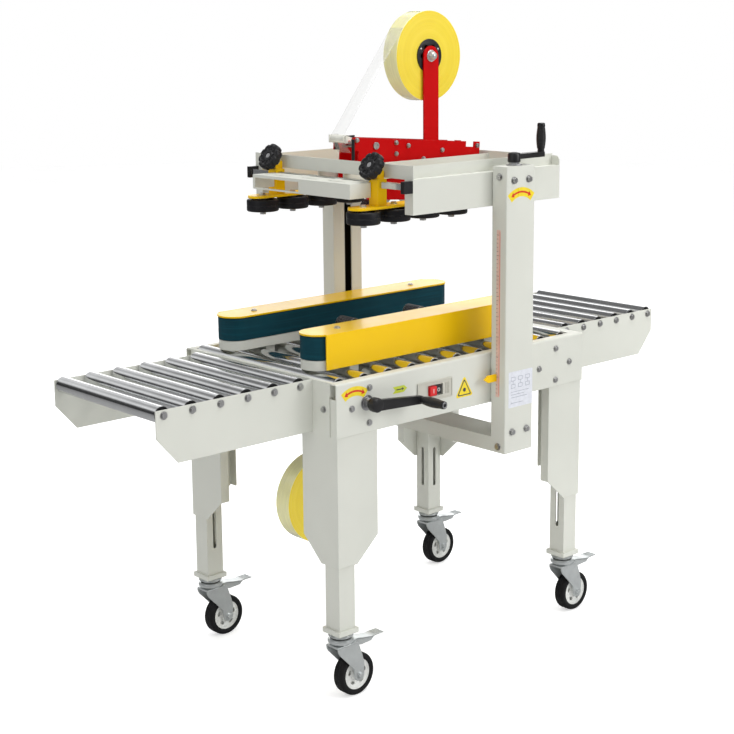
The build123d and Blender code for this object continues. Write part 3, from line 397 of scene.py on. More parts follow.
# The belt frame's middle band, inside the belt loop, is painted near black: painted shade.
belt_core = (shadow_coat, lambda p: 802 < p.z < 858)
guard_bolts = (bolt_steel, lambda p: p.z > 863.3)
carriage_bolts = (
    bolt_steel,
    lambda p: p.z < 1137.9 or (1144.2 < p.z < 1151 and not 208 <= p.x <= 236),
)
for label, _ in SIDES:
    dress(f"{label}_column", beige, column_inside)
    dress(f"{label}_belt_frame", beige, belt_shafts, belt_core)
    dress(f"{label}_belt_guard", yellow, guard_bolts)
    dress(f"{label}_belt", belt_teal)
    dress(f"{label}_drive_pulley", pulley_metal)
    dress(f"{label}_idler_pulley", pulley_metal)
    dress(f"{label}_press_carriage", yellow, carriage_bolts)

dress("far_height_screw", thread_steel)
guide_bar = (
    chrome,
    lambda p: 213.9 <= p.x <= 230.1 and abs(p.y) <= 278 and 1185.9 <= p.z <= 1200.1,
)
bar_ends = (black_plastic, lambda p: abs(p.y) > 277.9)
dress("press_rail", beige, guide_bar, bar_ends)

GUIDE = (269, 1287)
upper_rods = (bolt_steel, lambda p: abs(p.y) < 31.9 and p.z < 1275)
guide_ears = (
    black_plastic,
    lambda p: 261 < p.x < 291 and 1262 < p.z < 1297 and 27.9 < abs(p.y) < 32.1,
)
guide_roller = (white_nylon, lambda p: near_line(p, GUIDE, 10.6, XZ) and abs(p.y) < 32)
outer_bolts = (bolt_steel, lambda p: p.y < -36.1)
stop_stud = (black_plastic, lambda p: near_line(p, (272, -46), 4.5, XY))
dress("upper_tape_frame", red, upper_rods, guide_ears, guide_roller, outer_bolts, stop_stud)
lower_rods = (bolt_steel, lambda p: abs(p.y) < 27.9 and p.z > 560)
dress("lower_tape_frame", red, lower_rods, outer_bolts)
for label in ("upper", "lower"):
    for end in ("front", "rear"):
        dress(f"{label}_{end}_arm", zinc)
    dress(f"{label}_cutter_arm", zinc)
switch_plate = (beige_plate, lambda p: 251 < p.x < 369 and 679 < p.z < 729 and p.y < -285.5)
pointer = (yellow, lambda p: 455 < p.x < 499.5 and -311 < p.y < -304 and 697 < p.z < 717)
cable_gland = (black_plastic, lambda p: p.y > 286.1 and near_line(p, (700, 676), 20, XZ))
dress("frame_fittings", bolt_steel, switch_plate, pointer, cable_gland)
dress("switch_rocker", switch_black, (switch_red, lambda p: p.x < 309))


# ------------ mesh tools

# Edges that fold more than this stay sharp.
SHARP = radians(34)
TO_OPERATOR = (0, -1, 0)


def stand(point, direction):
    """Local frame at a machine point whose Z runs along a direction."""
    turned = Vector(direction).to_track_quat("Z", "Y").to_matrix().to_4x4()
    return Matrix.Translation(at(*point)) @ turned


def lifted(matrix, height):
    """The same local frame, moved along its own Z by a height in millimetres."""
    return matrix @ Matrix.Translation((0, 0, height * MM))


def spun(matrix, angle):
    """The same local frame, turned about its own Z."""
    return matrix @ Matrix.Rotation(angle, 4, "Z")


def facing(point, across, up):
    """Local frame at a machine point from its local X and Y directions; local Z is their cross product."""
    across, up = Vector(across), Vector(up)
    columns = Matrix((across, up, across.cross(up))).transposed()
    return Matrix.Translation(at(*point)) @ columns.to_4x4()


def upright(point):
    """Side-view frame: local X runs along the machine, local Y runs up and local Z faces the operator."""
    return facing(point, (1, 0, 0), (0, 0, 1))


def lathe(bm, profile, matrix, segments=48, closed=False, ripple=None, index=0):
    """Sweeps a profile of (radius, height) round local Z."""
    rings = []
    for radius, height in profile:
        ring = []
        for step in range(segments if radius > 0 else 1):
            angle = 2 * pi * step / segments
            reach = radius * (ripple(radius, angle) if ripple else 1)
            local = Vector((reach * cos(angle), reach * sin(angle), height)) * MM
            ring.append(bm.verts.new(matrix @ local))
        rings.append(ring)
    pairs = list(zip(rings, rings[1:]))
    if closed:
        pairs.append((rings[-1], rings[0]))
    for low, high in pairs:
        for step in range(segments):
            after = (step + 1) % segments
            around = ((low, step), (low, after), (high, after), (high, step))
            corners = dict.fromkeys(loop[place % len(loop)] for loop, place in around)
            bm.faces.new(tuple(corners)).material_index = index


def prism(bm, outline, matrix, depth, index=0):
    """Solid between local z 0 and a depth, from an outline of (x, y) points."""
    low = [bm.verts.new(matrix @ (Vector((x, y, 0)) * MM)) for x, y in outline]
    high = [bm.verts.new(matrix @ (Vector((x, y, depth)) * MM)) for x, y in outline]
    bm.faces.new(low[::-1]).material_index = index
    bm.faces.new(high).material_index = index
    for step in range(len(outline)):
        after = (step + 1) % len(outline)
        quad = (low[step], low[after], high[after], high[step])
        bm.faces.new(quad).material_index = index


def cut_plate(bm, loops, matrix, thickness, bevel):
    """Plate with holes and softened edges; the loops are an outline and its holes in local (x, y)."""
    curve = bpy.data.curves.new("cut_plate", "CURVE")
    curve.dimensions = "2D"
    curve.fill_mode = "BOTH"
    curve.extrude = (thickness / 2 - bevel) * MM
    curve.bevel_depth = bevel * MM
    curve.bevel_resolution = 2
    curve.offset = -bevel * MM
    for loop in loops:
        spline = curve.splines.new("POLY")
        spline.points.add(len(loop) - 1)
        for point, (x, y) in zip(spline.points, loop):
            point.co = (x * MM, y * MM, 0, 1)
        spline.use_cyclic_u = True
    holder = bpy.data.objects.new("cut_plate", curve)
    mesh = bpy.data.meshes.new_from_object(holder)
    part = bmesh.new()
    part.from_mesh(mesh)
    bmesh.ops.remove_doubles(part, verts=part.verts, dist=1e-6)
    part.transform(matrix)
    part.to_mesh(mesh)
    part.free()
    bm.from_mesh(mesh)
    bpy.data.objects.remove(holder)
    bpy.data.curves.remove(curve)
    bpy.data.meshes.remove(mesh)


def spoke(radius, angle, x=0, y=0):
    """Point at a radius and an angle round (x, y)."""
    return x + radius * cos(angle), y + radius * sin(angle)


def arc(x, y, radius, first, last, steps):
    """Points on an arc round (x, y), from a first angle to a last one."""
    return [spoke(radius, first + (last - first) * step / steps, x, y) for step in range(steps + 1)]


def rectangle(x0, x1, y0, y1):
    return [(x0, y0), (x1, y0), (x1, y1), (x0, y1)]


def circle_angles(count):
    return [2 * pi * step / count for step in range(count)]


def circle(x, y, radius, count=32):
    return [spoke(radius, angle, x, y) for angle in circle_angles(count)]


def oval(x, y, long, short, turn, count=28):
    """Ellipse outline whose long axis is turned from local X."""
    turned = Matrix.Rotation(turn, 2)
    outline = []
    for angle in circle_angles(count):
        point = turned @ Vector((long * cos(angle), short * sin(angle)))
        outline.append((x + point.x, y + point.y))
    return outline


def hull_of_discs(first, second, count=14):
    """Outline round two discs (x, y, radius), for a tapered arm."""
    turn = atan2(second[1] - first[1], second[0] - first[0])
    far_end = arc(*second, turn - pi / 2, turn + pi / 2, count)
    return arc(*first, turn + pi / 2, turn + 3 * pi / 2, count) + far_end


def rounded_box(x0, x1, y0, y1, radius, count=4):
    """Rectangle outline with round corners."""
    outline = []
    corners = ((x1, y1, 0), (x0, y1, 1), (x0, y0, 2), (x1, y0, 3))
    for x, y, quarter in corners:
        centre_x = x - radius if x == x1 else x + radius
        centre_y = y - radius if y == y1 else y + radius
        start = pi / 2 * quarter
        outline += arc(centre_x, centre_y, radius, start, start + pi / 2, count)
    return outline


def piece(name, bm, materials, body, bevel=0.0, stands_for=()):
    """Turns a mesh into a visible piece that rides on a CAD body."""
    bmesh.ops.recalc_face_normals(bm, faces=bm.faces)
    for face in bm.faces:
        face.smooth = True
    for edge in bm.edges:
        edge.smooth = edge.calc_face_angle(0) < SHARP
    mesh = bpy.data.meshes.new(name)
    bm.to_mesh(mesh)
    bm.free()
    for material in materials:
        mesh.materials.append(material)
    made = show(name, mesh)
    if bevel:
        soften = made.modifiers.new("soft_edges", "BEVEL")
        soften.width = bevel * MM
        soften.segments = 2
        soften.limit_method = "ANGLE"
        soften.angle_limit = SHARP
    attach(made, body)
    if stands_for:
        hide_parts(*stands_for)
    return made


def hex_bolt(bm, point, direction, radius, height):
    """Chamfered hexagon head on its washer, with the centre slightly domed."""
    seat = stand(point, direction)
    washer = [(0, 0), (radius * 1.32, 0), (radius * 1.38, 0.5), (radius * 1.3, 1.2), (0, 1.2)]
    lathe(bm, washer, seat, 28)
    head = [(0, 1.2), (radius, 1.2), (radius, height), (radius * 0.86, height + 1), (0, height + 1.2)]
    lathe(bm, head, seat, 6)


# ------------ tape rolls

ROLL_RADIUS = half_size("upper_tape_roll").x
CORE_RADIUS = 38
TAPE_HALF = 24
FLANGE_RADIUS = CORE_RADIUS + 4
FLANGE_THICKNESS = 2.5
BOARD = 3
AXLE_BORE = 6.1
SPOKES = 6
HOLE_CIRCLE = 24
SCREW_CIRCLE = 34
BRACKET_FACE = -32


def tape_roll(body, side_material):
    """Wound tape, board core and a black spoked core holder with a screwed flange."""
    label = body.removesuffix("_tape_roll")
    axis = middle(body)
    hub = upright((axis.x, 0, axis.z))
    tape = bmesh.new()
    rim = ROLL_RADIUS
    board = CORE_RADIUS + BOARD
    profile = [(board, -TAPE_HALF), (rim - 0.8, -TAPE_HALF), (rim, -TAPE_HALF + 0.8)]
    profile += [(rim, TAPE_HALF - 0.8), (rim - 0.8, TAPE_HALF), (board, TAPE_HALF)]
    lathe(tape, profile, hub, 128, closed=True)
    for face in tape.faces:
        place = machine(face.calc_center_median())
        if not near_line(place, (axis.x, axis.z), rim - 1.5, XZ):
            face.material_index = 1
    skins = [side_material, tape_outer]
    piece(f"{label}_wound_tape", tape, skins, body, stands_for=[body])
    core = bmesh.new()
    end = TAPE_HALF + 0.4
    inside = CORE_RADIUS - 1
    lathe(core, rectangle(inside, board, -end, end), hub, 96, closed=True)
    piece(f"{label}_board_core", core, [core_board], body, bevel=0.4)
    holder = bmesh.new()
    lathe(holder, rectangle(CORE_RADIUS - 4, inside, -22, 23.5), hub, 72, closed=True)
    boss = [(AXLE_BORE, -23), (12, -23), (13, -21), (13, 22), (12, 24), (AXLE_BORE, 24)]
    lathe(holder, boss, hub, 48, closed=True)
    for face_z in (TAPE_HALF + FLANGE_THICKNESS / 2, -21):
        holes = [circle(*spoke(HOLE_CIRCLE, pi / 3 * turn), 6.5, 20) for turn in range(SPOKES)]
        radius = FLANGE_RADIUS if face_z > 0 else CORE_RADIUS - 3.5
        loops = [circle(0, 0, radius, 72), circle(0, 0, AXLE_BORE), *holes]
        cut_plate(holder, loops, lifted(hub, face_z), FLANGE_THICKNESS, 0.5)
    for turn in range(SPOKES):
        seat = lifted(spun(hub, pi / 3 * (turn + 0.5)), -20)
        prism(holder, rectangle(12, 35, -1.3, 1.3), seat, 44)
    piece(f"{label}_core_holder", holder, [black_plastic], body)
    screws = bmesh.new()
    for turn in range(3):
        x, z = spoke(SCREW_CIRCLE, 2 * pi * turn / 3 + 0.5, axis.x, axis.z)
        dome = [(0, 0), (3.2, 0), (3, 0.5), (2, 0.9), (0, 1.1)]
        lathe(screws, dome, stand((x, -TAPE_HALF - FLANGE_THICKNESS, z), TO_OPERATOR), 20)
    piece(f"{label}_holder_screws", screws, [bolt_steel], body)


tape_roll("upper_tape_roll", upper_side)
tape_roll("lower_tape_roll", lower_side)


def axle_nut(label, body, axis):
    """Washer and domed nut that hold a tape roll's axle to its bracket."""
    nut = bmesh.new()
    seat = stand((axis.x, BRACKET_FACE, axis.z), TO_OPERATOR)
    lathe(nut, [(0, 0), (14.5, 0), (15, 0.8), (14.2, 2), (0, 2)], seat, 40)
    lathe(nut, [(0, 2), (12, 2), (12, 7), (10.5, 8), (0, 8)], seat, 6)
    lathe(nut, [(9.8, 8), (9.4, 11), (7.6, 13.6), (4.2, 15.2), (0, 15.8)], seat, 36)
    piece(f"{label}_axle_nut", nut, [zinc], body)


axle_nut("upper", "head", UPPER_AXIS)
axle_nut("lower", "machine_frame", LOWER_AXIS)


def tape_web():
    """Clear tape from the roll's front to the top of the guide roller, and on into the head."""
    half = TAPE_HALF - 0.5
    guide_radius = 10.4
    run = Vector((UPPER_AXIS.x - GUIDE[0], UPPER_AXIS.z - GUIDE[1]))
    heading = atan2(run.y, run.x)
    lean = (ROLL_RADIUS - guide_radius) / run.length
    normal = heading + pi / 2 + lean
    web = bmesh.new()
    line = [spoke(ROLL_RADIUS + 0.3, normal, UPPER_AXIS.x, UPPER_AXIS.z)]
    line += arc(*GUIDE, guide_radius, normal, radians(200), 8)
    line.append((GUIDE[0] + 16, GUIDE[1] - 35))
    rows = []
    for x, z in line:
        rows.append([web.verts.new(at(x, y, z)) for y in (-half, 0, half)])
    for first, second in zip(rows, rows[1:]):
        for column in range(2):
            web.faces.new((first[column], first[column + 1], second[column + 1], second[column]))
    made = piece("upper_tape_web", web, [film], "head")
    thick = made.modifiers.new("film", "SOLIDIFY")
    thick.thickness = 0.15 * MM


tape_web()


# ------------ clamp knobs and press rollers

KNOB_TILT = radians(30)
KNOB_AXIS = (-cos(KNOB_TILT), 0, sin(KNOB_TILT))
KNOB_X = 203
KNOB_Z = 1236
PRESS_Y = 187
LOBES = 10


def scallop(radius, angle):
    """Finger grips cut into the knob's rim."""
    if radius < 24:
        return 1
    return 1 - 0.1 * max(0, cos(LOBES * angle)) ** 1.5


def clamp_knob(label, side):
    """Star knob with a dished face and steel bush, on its threaded stud with a washer and nut."""
    seat = stand((KNOB_X, side * PRESS_Y, KNOB_Z), KNOB_AXIS)
    knob = bmesh.new()
    head = [(0, -16), (13, -16), (13.5, -11), (16, -9.5), (30, -9.5), (33, -7.5), (34, -4), (34, 4.5)]
    head += [(33, 8), (30, 9.8), (26, 9.8), (24, 7.6), (15, 7.2), (13.5, 9.5), (9, 9.8), (8, 8.6), (0, 8.6)]
    lathe(knob, head, seat, 120, ripple=scallop)
    for rib in range(LOBES):
        turned = spun(seat, 2 * pi * (rib + 0.5) / LOBES)
        prism(knob, rectangle(14.5, 23.5, -1, 1), lifted(turned, 7), 2)
    body = f"{label}_knob"
    replaced = [f"{label}_clamp_knob"]
    piece(f"{label}_star_knob", knob, [black_plastic], body, stands_for=replaced)
    stud = bmesh.new()
    thread = [(0, -34)]
    for turn in range(17):
        thread += [(4.3, -34 + turn), (4.9, -33.5 + turn)]
    lathe(stud, thread + [(4.9, -16)], seat, 24)
    lathe(stud, [(4.9, -24), (12, -24), (12.4, -23.4), (12, -22.4), (4.9, -22.4)], seat, 36)
    lathe(stud, rectangle(4.9, 9, -22, -17), seat, 6)
    lathe(stud, [(13.8, -15.5), (15.6, -15.5), (19, -10.2), (13.8, -10.2)], seat, 48)
    lathe(stud, [(0, 8.5), (6.5, 8.5), (6, 9.4), (0, 9.6)], seat, 30)
    piece(f"{label}_knob_stud", stud, [thread_steel], body)


def press_roller(label, number):
    """Rubber tyre with a shallow groove round a black hub and its bearing."""
    node = f"{label}_press_roller_{number}"
    radius, _, half = half_size(node)
    seat = stand(middle(node), (0, 0, 1))
    rubber = bmesh.new()
    profile = [(radius - 11, -half + 1), (radius - 5, -half)]
    profile += arc(radius - 4, -half + 4, 4, -pi / 2, 0, 4)
    profile += [(radius, -1.2), (radius - 0.7, -0.6), (radius - 0.7, 0.6), (radius, 1.2)]
    profile += arc(radius - 4, half - 4, 4, 0, pi / 2, 4)
    profile += [(radius - 5, half), (radius - 11, half - 1)]
    lathe(rubber, profile, seat, 96, closed=True)
    piece(f"{node}_tyre", rubber, [black_rubber], node, stands_for=[node])
    hub = bmesh.new()
    web = [(11, -half + 1), (13, -half + 1), (14, -half + 5), (radius - 13, -half + 5)]
    web += [(radius - 11, -half + 2), (radius - 11, half - 2), (radius - 13, half - 5)]
    web += [(14, half - 5), (13, half - 1), (11, half - 1)]
    lathe(hub, web, seat, 64, closed=True)
    lathe(hub, rectangle(AXLE_BORE, 11, -half + 2, half - 2), seat, 40, closed=True, index=1)
    piece(f"{node}_hub", hub, [black_plastic, bolt_steel], node)


for label, side in SIDES:
    clamp_knob(label, side)
    for number in range(1, 5):
        press_roller(label, number)


# ------------ cranks


def grip(bm, seat, base, length):
    """Turned handle with a waisted foot and fine ribs."""
    profile = [(0, base), (8, base), (8.6, base + 3), (8, base + 6)]
    ribs = 14
    start = base + 9
    pitch = (length - 20) / ribs
    for rib in range(ribs):
        swell = 9.6 + 2.2 * sin(pi * (rib + 0.5) / ribs)
        profile += [(swell, start + rib * pitch), (swell, start + (rib + 0.7) * pitch)]
        profile += [(swell - 0.5, start + (rib + 0.8) * pitch)]
    profile += [(9.8, base + length - 6), (9, base + length - 1), (7, base + length)]
    lathe(bm, profile + [(0, base + length)], seat, 40)


def crank(node, hub_seat, arm, hub, arm_drop, arm_side, grip_base, grip_length, steel_parts):
    """Crank arm from a hub to a grip, with its steel parts as (lathe profile, segments) pairs.

    The arm is given as its length and its half widths at the hub and the grip.
    """
    length, wide, narrow = arm
    bm = bmesh.new()
    lathe(bm, hub, hub_seat, 48)
    turned = spun(hub_seat, atan2(-arm_drop, length))
    outline = hull_of_discs((0, 0, wide), (length, 0, narrow))
    prism(bm, outline, lifted(turned, arm_side[0]), arm_side[1] - arm_side[0])
    grip_seat = turned @ Matrix.Translation((length * MM, 0, 0))
    grip(bm, grip_seat, grip_base, grip_length)
    name = f"{node}_handle"
    piece(name, bm, [grip_plastic], node, bevel=1.6, stands_for=[node])
    steel = bmesh.new()
    end = grip_base + grip_length
    ring = [(4.4, end - 0.5), (7.2, end - 0.5), (7.6, end), (6.6, end + 0.4), (4.4, end + 0.4)]
    lathe(steel, ring, grip_seat, 32, closed=True)
    for profile, segments in steel_parts:
        lathe(steel, profile, hub_seat, segments)
    piece(f"{name}_steel", steel, [thread_steel], node, bevel=0.3)


HEIGHT_SCREW = (549, -315)
COLUMN_TOP = 1223
SHAFT_RADIUS = 7.8
LOWER_COLLAR = (523 - COLUMN_TOP, 537 - COLUMN_TOP)
height_seat = facing((*HEIGHT_SCREW, COLUMN_TOP), (1, 0, 0), (0, 1, 0))
height_hub = [(0, 7.5), (14, 7.5), (15.5, 9), (15.5, 26), (13.5, 30), (6, 31.5), (0, 31.5)]
height_low = limits("height_crank")[0].z - COLUMN_TOP
crank(
    "height_crank",
    height_seat,
    (96, 12.5, 10),
    height_hub,
    arm_drop=0,
    arm_side=(15, 27),
    grip_base=27,
    grip_length=69.6,
    steel_parts=[
        (rectangle(0, SHAFT_RADIUS, height_low, 8), 32),
        (rectangle(0, 14, *LOWER_COLLAR), 32),
        ([(0, 0.4), (19, 0.4), (19.5, 1.2), (19, 3), (0, 3)], 40),
        (rectangle(0, 13, 3, 7.4), 6),
    ],
)


# ------------ width crank

WIDTH_HUB = 17
WIDTH_HUB_X = limits("width_crank")[0].x + WIDTH_HUB
WIDTH_HUB_Z = limits("width_crank")[1].z - WIDTH_HUB
WIDTH_SCREW_LENGTH = 546
WIDTH_BOSS_Y = -286
WIDTH_ARM = 136
WIDTH_DROP = 10
width_seat = upright((WIDTH_HUB_X, WIDTH_BOSS_Y, WIDTH_HUB_Z))
crank(
    "width_crank",
    width_seat,
    (sqrt(WIDTH_ARM**2 + WIDTH_DROP**2), 13, 9.5),
    [(0, 19), (14, 19), (16.5, 21), (WIDTH_HUB, 24), (WIDTH_HUB, 38), (15, 41), (9, 42.5), (0, 42.5)],
    arm_drop=WIDTH_DROP,
    arm_side=(29, 41),
    grip_base=40,
    grip_length=75.6,
    steel_parts=[
        (rectangle(0, SHAFT_RADIUS, -WIDTH_SCREW_LENGTH, 8), 32),
        ([(0, 0.3), (18, 0.3), (18.6, 1), (18, 2.4), (0, 2.4)], 40),
        (rectangle(0, 14, 2.4, 5), 36),
        (rectangle(0, 11, 5, 11), 6),
        ([(0, 11), (9, 11), (9, 12.4), (13, 12.8), (13, 14.4), (9, 15), (0, 15)], 36),
        ([(0, 15), (11.5, 15.4), (11.5, 18.2), (9, 19), (0, 19)], 36),
    ],
)


# ------------ casters

TRAIL = 39
FORK_HALF = 22
FORK_PLATE = 3.6
CROWN_HEIGHT = 134
PEDAL_HALF = 14
PEDAL_SHEET = 1.8
TREAD_START = 99
TREAD_END = 123
TREAD_RIBS = 5
HUB_WINDOWS = 5


def caster_fork(number):
    """Stem, double ball race, pressed crown, two cheeks, axle bolt and ribbed brake pedal."""
    wheel = middle(f"caster_wheel_{number}")
    pin_x = wheel.x - TRAIL
    node = f"caster_fork_{number}"
    stem_top = limits(node)[1].z
    turret = stand((pin_x, wheel.y, 0), (0, 0, 1))
    fork = bmesh.new()
    lathe(fork, [(0, 160), (7.9, 160), (7.9, stem_top - 1), (7, stem_top), (0, stem_top)], turret, 28)
    upper_race = [(0, 154), (20, 154), (27, 155.5), (29.6, 158.5), (28.6, 162), (24, 164.4), (0, 164.4)]
    lower_race = [(0, 137), (22, 137), (26, 139), (30.4, 142.5), (31, 147), (29.4, 151), (23, 153), (0, 153)]
    lathe(fork, upper_race, turret, 56)
    lathe(fork, lower_race, turret, 56)
    # Near-black disc in the gap between the two ball races: painted shade.
    lathe(fork, rectangle(0, 25.5, 152.6, 154.6), turret, 56, index=1)
    crown = facing((pin_x, wheel.y, CROWN_HEIGHT), (1, 0, 0), (0, 1, 0))
    cut_plate(fork, [rounded_box(-27, 35, -FORK_HALF, FORK_HALF, 5)], crown, FORK_PLATE * 1.4, 1.2)
    side_frame = upright((pin_x, wheel.y, 0))
    hub = (TRAIL, wheel.z)
    outline = [(-27, 135), (-27, 127), (-22, 117), (0, 94), (hub[0] - 17, 70)]
    outline += arc(*hub, 15, radians(170), radians(380), 8)
    outline += [(hub[0] + 15.5, 78), (48, 102), (40, 124), (36, 135)]
    for z in (-FORK_HALF + FORK_PLATE / 2, FORK_HALF - FORK_PLATE / 2):
        cut_plate(fork, [outline[::-1]], lifted(side_frame, z), FORK_PLATE, 0.9)
    tread = [(26, 138), (42, 139), (60, 135), (90, 131), (96, 132.5), (TREAD_END, 133)]
    tread += [(TREAD_END, 135.5), (95, 135.2), (89, 133.8), (61, 138), (42, 142), (26, 141.5)]
    prism(fork, tread, lifted(side_frame, -PEDAL_HALF), 2 * PEDAL_HALF)
    for rib in range(TREAD_RIBS):
        x = TREAD_START + rib * (TREAD_END - TREAD_START) / TREAD_RIBS
        height = 135.2 + 0.01 * (x - 95)
        rise = [(x, height - 1.2), (x + 2.6, height - 1), (x + 2.2, height + 1), (x + 0.6, height + 1)]
        prism(fork, rise, lifted(side_frame, 2 - PEDAL_HALF), 2 * PEDAL_HALF - 4)
    for z in (-PEDAL_HALF, PEDAL_HALF - PEDAL_SHEET):
        flange = [(30, 139), (30, 127), (52, 122), (84, 124), (92, 131.4), (60, 136), (42, 140)]
        prism(fork, flange, lifted(side_frame, z), PEDAL_SHEET)
    body = f"caster_{number}"
    piece(f"{node}_plated", fork, [zinc, shadow_coat], body, stands_for=[node])
    bolt = bmesh.new()
    for direction in (-1, 1):
        face = (wheel.x, wheel.y + direction * FORK_HALF, wheel.z)
        hex_bolt(bolt, face, (0, direction, 0), 6.8, 6)
    lathe(bolt, rectangle(0, 5.8, -FORK_HALF, FORK_HALF), upright(wheel), 24)
    piece(f"caster_axle_{number}", bolt, [zinc], body)


def caster_wheel(number):
    """Black tyre with two fine tread grooves on a pale hub that has five oval windows."""
    node = f"caster_wheel_{number}"
    _, half, radius = half_size(node)
    hub_radius = radius - 13.5
    seat = upright(middle(node))
    tyre = bmesh.new()
    profile = [(hub_radius - 1, -half + 2.4), (hub_radius + 3, -half + 0.8)]
    profile += arc(radius - 6, -half + 6, 6, -pi / 2, 0, 5)
    for groove in (-4.5, 4.5):
        profile += [(radius, groove - 1), (radius - 0.9, groove - 0.5)]
        profile += [(radius - 0.9, groove + 0.5), (radius, groove + 1)]
    profile += arc(radius - 6, half - 6, 6, 0, pi / 2, 5)
    profile += [(hub_radius + 3, half - 0.8), (hub_radius - 1, half - 2.4)]
    lathe(tyre, profile, seat, 96, closed=True)
    piece(f"{node}_tyre", tyre, [tyre_rubber], f"wheel_{number}", stands_for=[node])
    hub = bmesh.new()
    rim = [(hub_radius - 4, -12.6), (hub_radius, -13.2), (hub_radius, 13.2), (hub_radius - 4, 12.6)]
    lathe(hub, rim, seat, 80, closed=True)
    lathe(hub, rectangle(11, hub_radius - 2, -5, 5), seat, 64, closed=True)
    windows = []
    for turn in range(HUB_WINDOWS):
        angle = 2 * pi * turn / HUB_WINDOWS + pi / 10
        windows.append(oval(*spoke(23.5, angle), 6.8, 4.4, angle + pi / 2))
    for z in (-10.2, 10.2):
        loops = [circle(0, 0, hub_radius - 2, 80), circle(0, 0, 9.5, 36), *windows]
        cut_plate(hub, loops, lifted(seat, z), 3.4, 0.7)
    boss = [(6.3, -14.6), (12, -14.6), (13.6, -12.4), (14.6, -9), (14.6, 9), (13.6, 12.4), (12, 14.6)]
    lathe(hub, boss + [(6.3, 14.6)], seat, 48, closed=True)
    lathe(hub, rectangle(6, 9.6, -15.2, 15.2), seat, 36, closed=True, index=1)
    piece(f"{node}_hub", hub, [hub_plastic, bolt_steel], f"wheel_{number}")


for number in range(1, 5):
    caster_fork(number)
    caster_wheel(number)


# ------------ tape heads

HEAD_TILT = radians(4.5)
UPPER_MID = (502, 1273)
LOWER_MID = (404, 655)
ARM_TIP = (115, 172)
PLATE_FACE = -38.8
PLATE_BOLTS = ((-210, 6), (-79, 9), (-77, 36), (-37, 15), (83, 24), (18, 47), (210, 10))


def head_point(label, along, depth):
    """Machine X and Z of a point on a tape head, with depth measured towards the carton."""
    if label == "lower":
        return LOWER_MID[0] + along, LOWER_MID[1] + depth
    x = UPPER_MID[0] + along * cos(HEAD_TILT) - depth * sin(HEAD_TILT)
    z = UPPER_MID[1] - along * sin(HEAD_TILT) - depth * cos(HEAD_TILT)
    return x, z


def arm_sleeve(label, end, sign):
    """Grooved rubber sleeve on the roller at a tape arm's tip."""
    x, z = head_point(label, sign * ARM_TIP[0], ARM_TIP[1])
    sleeve = bmesh.new()
    outside = 18.6
    profile = [(12, -25.6), (17.4, -25.6), (outside, -24.4)]
    for y in range(-20, 25, 5):
        profile += [(outside, y - 0.8), (18, y - 0.4), (18, y + 0.4), (outside, y + 0.8)]
    profile += [(outside, 24.4), (17.4, 25.6), (12, 25.6)]
    lathe(sleeve, profile, upright((x, 0, z)), 56, closed=True)
    body = f"{label}_{end}_arm"
    piece(f"{body}_sleeve", sleeve, [black_rubber], body)


def plate_bolts(label, body):
    """Domed hexagon bolts on the side plate that faces the operator."""
    bolts = bmesh.new()
    for along, depth in PLATE_BOLTS:
        x, z = head_point(label, along, depth)
        seat = stand((x, PLATE_FACE, z), TO_OPERATOR)
        lathe(bolts, [(0, 0), (5.4, 0), (5.4, 2.2), (4.6, 3.2), (0, 3.6)], seat, 6)
    piece(f"{label}_plate_bolts", bolts, [bolt_steel], body)


for label, body in (("upper", "head"), ("lower", "machine_frame")):
    arm_sleeve(label, "front", -1)
    arm_sleeve(label, "rear", 1)
    plate_bolts(label, body)


# ------------ stickers and scale

FILM = 0.25
SCALE_SPAN = (659, 1071)


def sticker(name, seat, layers):
    """Printed film on the frame, in layers of (material, outlines) that lie one on another."""
    bm = bmesh.new()
    for level, (_, outlines) in enumerate(layers):
        for outline in outlines:
            prism(bm, outline, lifted(seat, level * FILM * 0.9), FILM, index=level)
    piece(name, bm, [material for material, _ in layers], "machine_frame")


def sector(inner, outer, half_angle, count=18):
    """Arched band centred on the local origin."""
    first, last = pi / 2 - half_angle, pi / 2 + half_angle
    return arc(0, 0, outer, first, last, count) + arc(0, 0, inner, last, first, count)


def turn_arrow(name, point, radius, half_angle):
    """Arched yellow sticker with a double-ended red arrow: which way a crank turns."""
    arrow_middle = radius - 11
    bow = half_angle * 0.62
    heads = []
    for sign in (-1, 1):
        start = pi / 2 + sign * bow
        tip = pi / 2 + sign * (bow + 0.16)
        sides = [spoke(arrow_middle + reach, start) for reach in (sign * 6.5, -sign * 6.5)]
        heads.append([spoke(arrow_middle, tip), *sides])
    band = sector(arrow_middle - 2.2, arrow_middle + 2.2, bow)
    layers = [(sticker_yellow, [sector(radius - 22, radius, half_angle)]), (sticker_red, [band, *heads])]
    sticker(name, upright(point), layers)


def round_triangle(size, radius):
    """Equilateral triangle with round corners about the local origin."""
    outline = []
    for corner in range(3):
        middle_angle = pi / 2 + 2 * pi * corner / 3
        x, y = spoke(size, middle_angle)
        outline += arc(x, y, radius, middle_angle - pi / 3, middle_angle + pi / 3, 4)
    return outline


